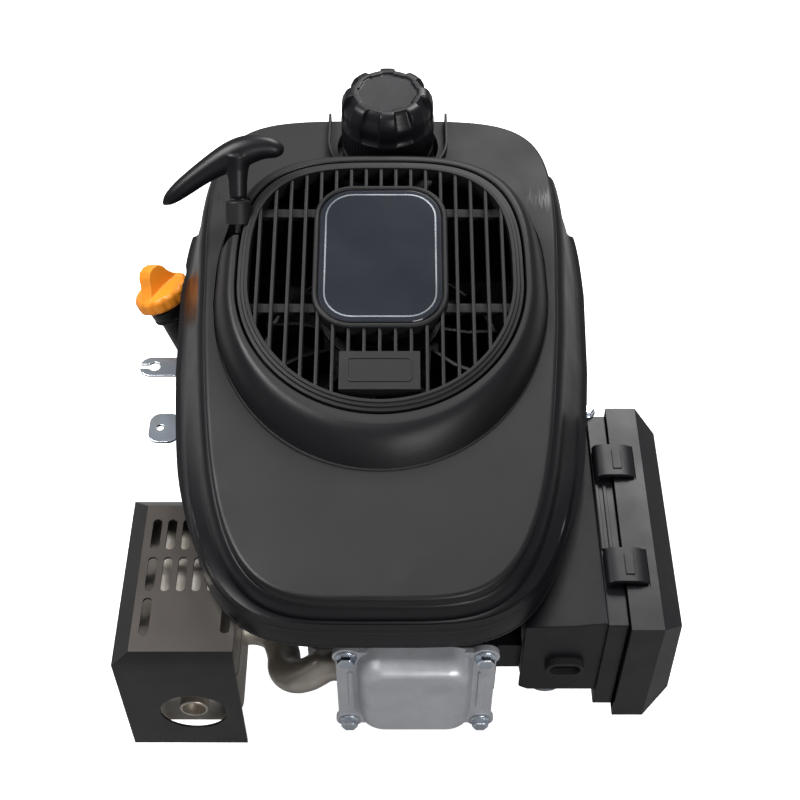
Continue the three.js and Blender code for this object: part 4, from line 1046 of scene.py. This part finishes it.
def air_cleaner_base():
    x0, x1, z0, z1 = BASE["x0"], BASE["x1"], BASE["z0"], BASE["z1"]
    side = [(x0 + 6, z0), (x1, z0), (x1, z1 + 4.5), (x0 + 30, z1), (x0, z1 - 2), (x0, z0 + 4)]
    inner = [(x0 - 4, z0 - 3), (x1 - 9, z0 - 3), (x1 - 9, z1 + 2), (x0 + 29, z1 - 2.6), (x0 + 2.4, z1 - 4.4)]
    inner += [(x0 - 4, z1 - 4.4)]
    base = make("air_cleaner_box", along_y(side, BASE["y0"], BASE["y1"]))
    cut(base, along_y(inner, BASE["y0"] + 2.6, BASE["y1"] - 2.6))
    combine(base, "UNION", block(x1 - 6, x1 + 7, BASE["y0"] - 3, BASE["y1"] + 8, 48, 148.4))
    cut(
        base,
        block(x1 - 3, x1 + 8, BASE["y0"] + 2, BASE["y1"] + 3, 53, 145),
        bar(12, at(x1 - 20, CARB_Y, CARB_Z), at(x1 + 10, CARB_Y, CARB_Z)),
    )
    rails = [
        block(x1 - 5.4 + 5 * k, x1 - 3 + 5 * k, -152, -100, 148, 149.6) for k in range(2)
    ]
    finished(base, "gloss_black", "engine", "air_cleaner_base", edge=1.2)
    finished(make("air_cleaner_rails", *rails), "gloss_black", "engine", edge=0.4)
    nozzle = [[at(x, y, z) for x, z in round_rect(w, h, r, 120, 96)] for y, w, h, r in
              ((-205, 26, 17, 8.4), (-211, 25, 16, 7.9), (-211, 20, 11, 5.4), (-205, 20, 11, 5.4))]
    finished(make("intake_nozzle", loft(nozzle, loop=True)), "rubber", "engine", edge=0.6)
    bolt = bolt_solids(at(144, -37, 148.6), at(0, 0, -1), 4.4, 2.5, 8)
    finished(make("air_cleaner_bolt", *bolt), "zinc", "engine", edge=0.3)


def latches():
    line = [
        (144.2, 148.8), (143.6, 152), (144.6, 154.4), (147, 155.9), (152, 156.3), (160, 156.3),
        (166, 155.8)
    ]
    line += [
        (170.4, 153.8), (171.2, 152.4), (168, 152.4), (164, 153.2), (150, 153.2), (147.4, 152.4),
        (146.6, 148.8)
    ]
    for name, y in LATCHES.items():
        pads = block(156, 162, y - 8, y + 8, 156, 157)
        clip = make(f"{name}_clip", along_y(line, y - 13, y + 13), pads)
        finished(clip, "gloss_black", name, name, edge=0.7)


# ---------- crankcase ----------
CASE_R = 88
CAM_CASE_R = 50
CAM_X, CAM_Y = 52, 29.9
JOINT_Z = 48  # joint between oil sump and block


def crankcase_bosses():
    """Bosses and screws that hold the oil sump to the block, and the drain plug."""

    def round_case(r, degrees, x=0, y=0):
        a = math.radians(degrees)
        return x + r * math.cos(a), y + r * math.sin(a)

    places = [round_case(CASE_R - 1, a) for a in (95, 140, 175, 210, 238, 305, 335)]
    places += [round_case(CAM_CASE_R - 1, a, CAM_X, CAM_Y) for a in (-12, 55)]
    bosses = []
    for x, y in places:
        profile = [(5.6, JOINT_Z - 20), (6.4, JOINT_Z - 17), (6.4, JOINT_Z + 12), (5.4, JOINT_Z + 15)]
        bosses.append(turned(profile, at(x, y, 0), UP, 28))
    finished(make("crankcase_bosses", *bosses), "cast_alloy", "engine", edge=0.8)
    screws = []
    for x, y in places:
        screws += bolt_solids(at(x, y, JOINT_Z - 20), UP, 4.6, 2.6, 6)
    finished(make("crankcase_screws", *screws), "zinc", "engine", edge=0.3)
    lip = [
        on_case(z, d)
        for z, d in ((JOINT_Z - 4, 0), (JOINT_Z - 4, 2.4), (JOINT_Z, 2.4), (JOINT_Z + 4, 2.4))
    ]
    lip.append(on_case(JOINT_Z + 4, 0))
    lip.append(on_case(JOINT_Z, -3))
    finished(make("crankcase_flange", loft(lip, loop=True)), "cast_alloy", "engine", edge=0.8)
    drain = bolt_solids(at(-62, 62, 16), at(0.7, -0.7, 0), 7, 4, 8)
    finished(make("drain_plug", *drain), "zinc", "engine", edge=0.4)


def on_case(z, d):
    """A ring round the crankcase: a large circle about the crank joined to a small one about the camshaft."""
    ring = []
    for i in range(RING_POINTS):
        a = i / RING_POINTS * TURN
        ahead = CAM_X * math.cos(a) + CAM_Y * math.sin(a)
        square = ahead**2 - CAM_X**2 - CAM_Y**2 + (CAM_CASE_R + d) ** 2
        small = ahead + math.sqrt(square) if square > 0 else 0
        r = max(CASE_R + d, small)
        ring.append(at(r * math.cos(a), r * math.sin(a), z))
    return ring


# ---------- CAD nodes shown as they are ----------
KEPT = {
    "cast_alloy": [
        "cylinder_block", "oil_sump", "cylinder_head", "connecting_rod", "piston", "flywheel",
        "carburetor",
    ],
    "steel": [
        "head_gasket", "rocker_shaft", "crankshaft_lower", "crankshaft_upper", "crank_pin", "wrist_pin",
        "camshaft", "intake_valve", "exhaust_valve", "intake_rocker", "exhaust_rocker",
        "intake_pushrod", "exhaust_pushrod", "starter_cup", "flywheel_nut", "starter_pawl",
        "recoil_spring", "throttle_shaft", "spark_plug",
    ],
    "zinc": ["float_bowl", "control_bracket", "brake_lever"],
    "rubber": ["upper_oil_seal", "lower_oil_seal", "fuel_cap_seal", "oil_cap_seal"],
    "gloss_black": ["cooling_fan", "starter_reel", "insulator_block"],
    "black_metal": ["ignition_coil"],
    "foam": ["air_filter"],
}


def dress_cad_nodes():
    for look, names in KEPT.items():
        for name in names:
            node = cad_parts[name]
            node.data.materials.clear()
            node.data.materials.append(LOOKS[look])
            weld = node.modifiers.new("weld", "WELD")
            weld.merge_threshold = 0.002 * MM
            flat = node.modifiers.new("flat", "DECIMATE")
            flat.decimate_type = "DISSOLVE"
            flat.angle_limit = math.radians(1)
            rounded(node, 0.5, angle=42)


# ---------- stage ----------
def by_ray(tree, cast, seen, socket):
    """Set a socket to "seen" where the camera looks at it, and to "cast" for all other light."""
    ray = tree.nodes.new("ShaderNodeLightPath").outputs["Is Camera Ray"]
    choice = tree.nodes.new("ShaderNodeMapRange")
    choice.inputs["To Min"].default_value = cast
    choice.inputs["To Max"].default_value = seen
    tree.links.new(ray, choice.inputs["Value"])
    tree.links.new(choice.outputs["Result"], socket)


CAMERA_PLACE = (0.013, -0.6607, 0.9676)
CAMERA_TILT = math.radians(40)  # up from looking straight down
CAMERA_LENS = 63


def stage():
    floor_mesh = bpy.data.meshes.new("floor")
    half = 6
    floor_mesh.from_pydata(
        [(-half, -half, 0), (half, -half, 0), (half, half, 0), (-half, half, 0)], [], [(0, 1, 2, 3)]
    )
    floor = bpy.data.objects.new("floor", floor_mesh)
    bpy.context.collection.objects.link(floor)
    pale = bpy.data.materials.new("pale floor")
    pale.use_nodes = True
    cloth = pale.node_tree.nodes["Principled BSDF"]
    cloth.inputs["Roughness"].default_value = 0.9
    cloth.inputs["Specular IOR Level"].default_value = 0.1
    # Seen straight, the floor is nearly white and glows a little, so that its far parts stay pale.
    # What it throws back at the engine is held down.
    by_ray(pale.node_tree, 0.3, 0.93, cloth.inputs["Base Color"])
    by_ray(pale.node_tree, 0, 0.72, cloth.inputs["Emission Strength"])
    cloth.inputs["Emission Color"].default_value = (1, 1, 1, 1)
    floor_mesh.materials.append(pale)

    world = bpy.context.scene.world or bpy.data.worlds.new("studio")
    bpy.context.scene.world = world
    world.use_nodes = True
    sky = world.node_tree.nodes["Background"]
    sky.inputs["Color"].default_value = (1, 1, 1, 1)
    by_ray(world.node_tree, 0.3, 0.9, sky.inputs["Strength"])

    def lamp(name, place, aim, size, watts):
        light = bpy.data.lights.new(name, "AREA")
        light.size = size
        light.energy = watts
        made = bpy.data.objects.new(name, light)
        made.location = place
        made.rotation_euler = (Vector(aim) - Vector(place)).to_track_quat("-Z", "Y").to_euler()
        bpy.context.collection.objects.link(made)

    lamp("key", (-0.9, 0.1, 1.7), (0, 0, 0.2), 0.8, 32)
    lamp("rear", (0.5, 1.3, 1.6), (0, 0, 0.2), 0.8, 32)
    lamp("front", (0.7, -1.5, 1.1), (0, 0, 0.15), 0.7, 16)

    lens = bpy.data.cameras.new("camera")
    lens.lens = CAMERA_LENS
    lens.sensor_width = 36
    camera = bpy.data.objects.new("camera", lens)
    camera.location = CAMERA_PLACE
    camera.rotation_euler = (CAMERA_TILT, 0, 0)
    bpy.context.collection.objects.link(camera)
    bpy.context.scene.camera = camera
    bpy.context.scene.view_settings.view_transform = "Standard"


top_cover()
blower_housing()
fuel_tank()
starter_housing()
badge()
starter_handle()
starter_rope()
fuel_cap()
oil_filler_tube()
oil_cap()
muffler_guard()
muffler()
valve_cover()
plug_boot()
air_cleaner_cover()
air_cleaner_base()
latches()
crankcase_bosses()
dress_cad_nodes()
stage()
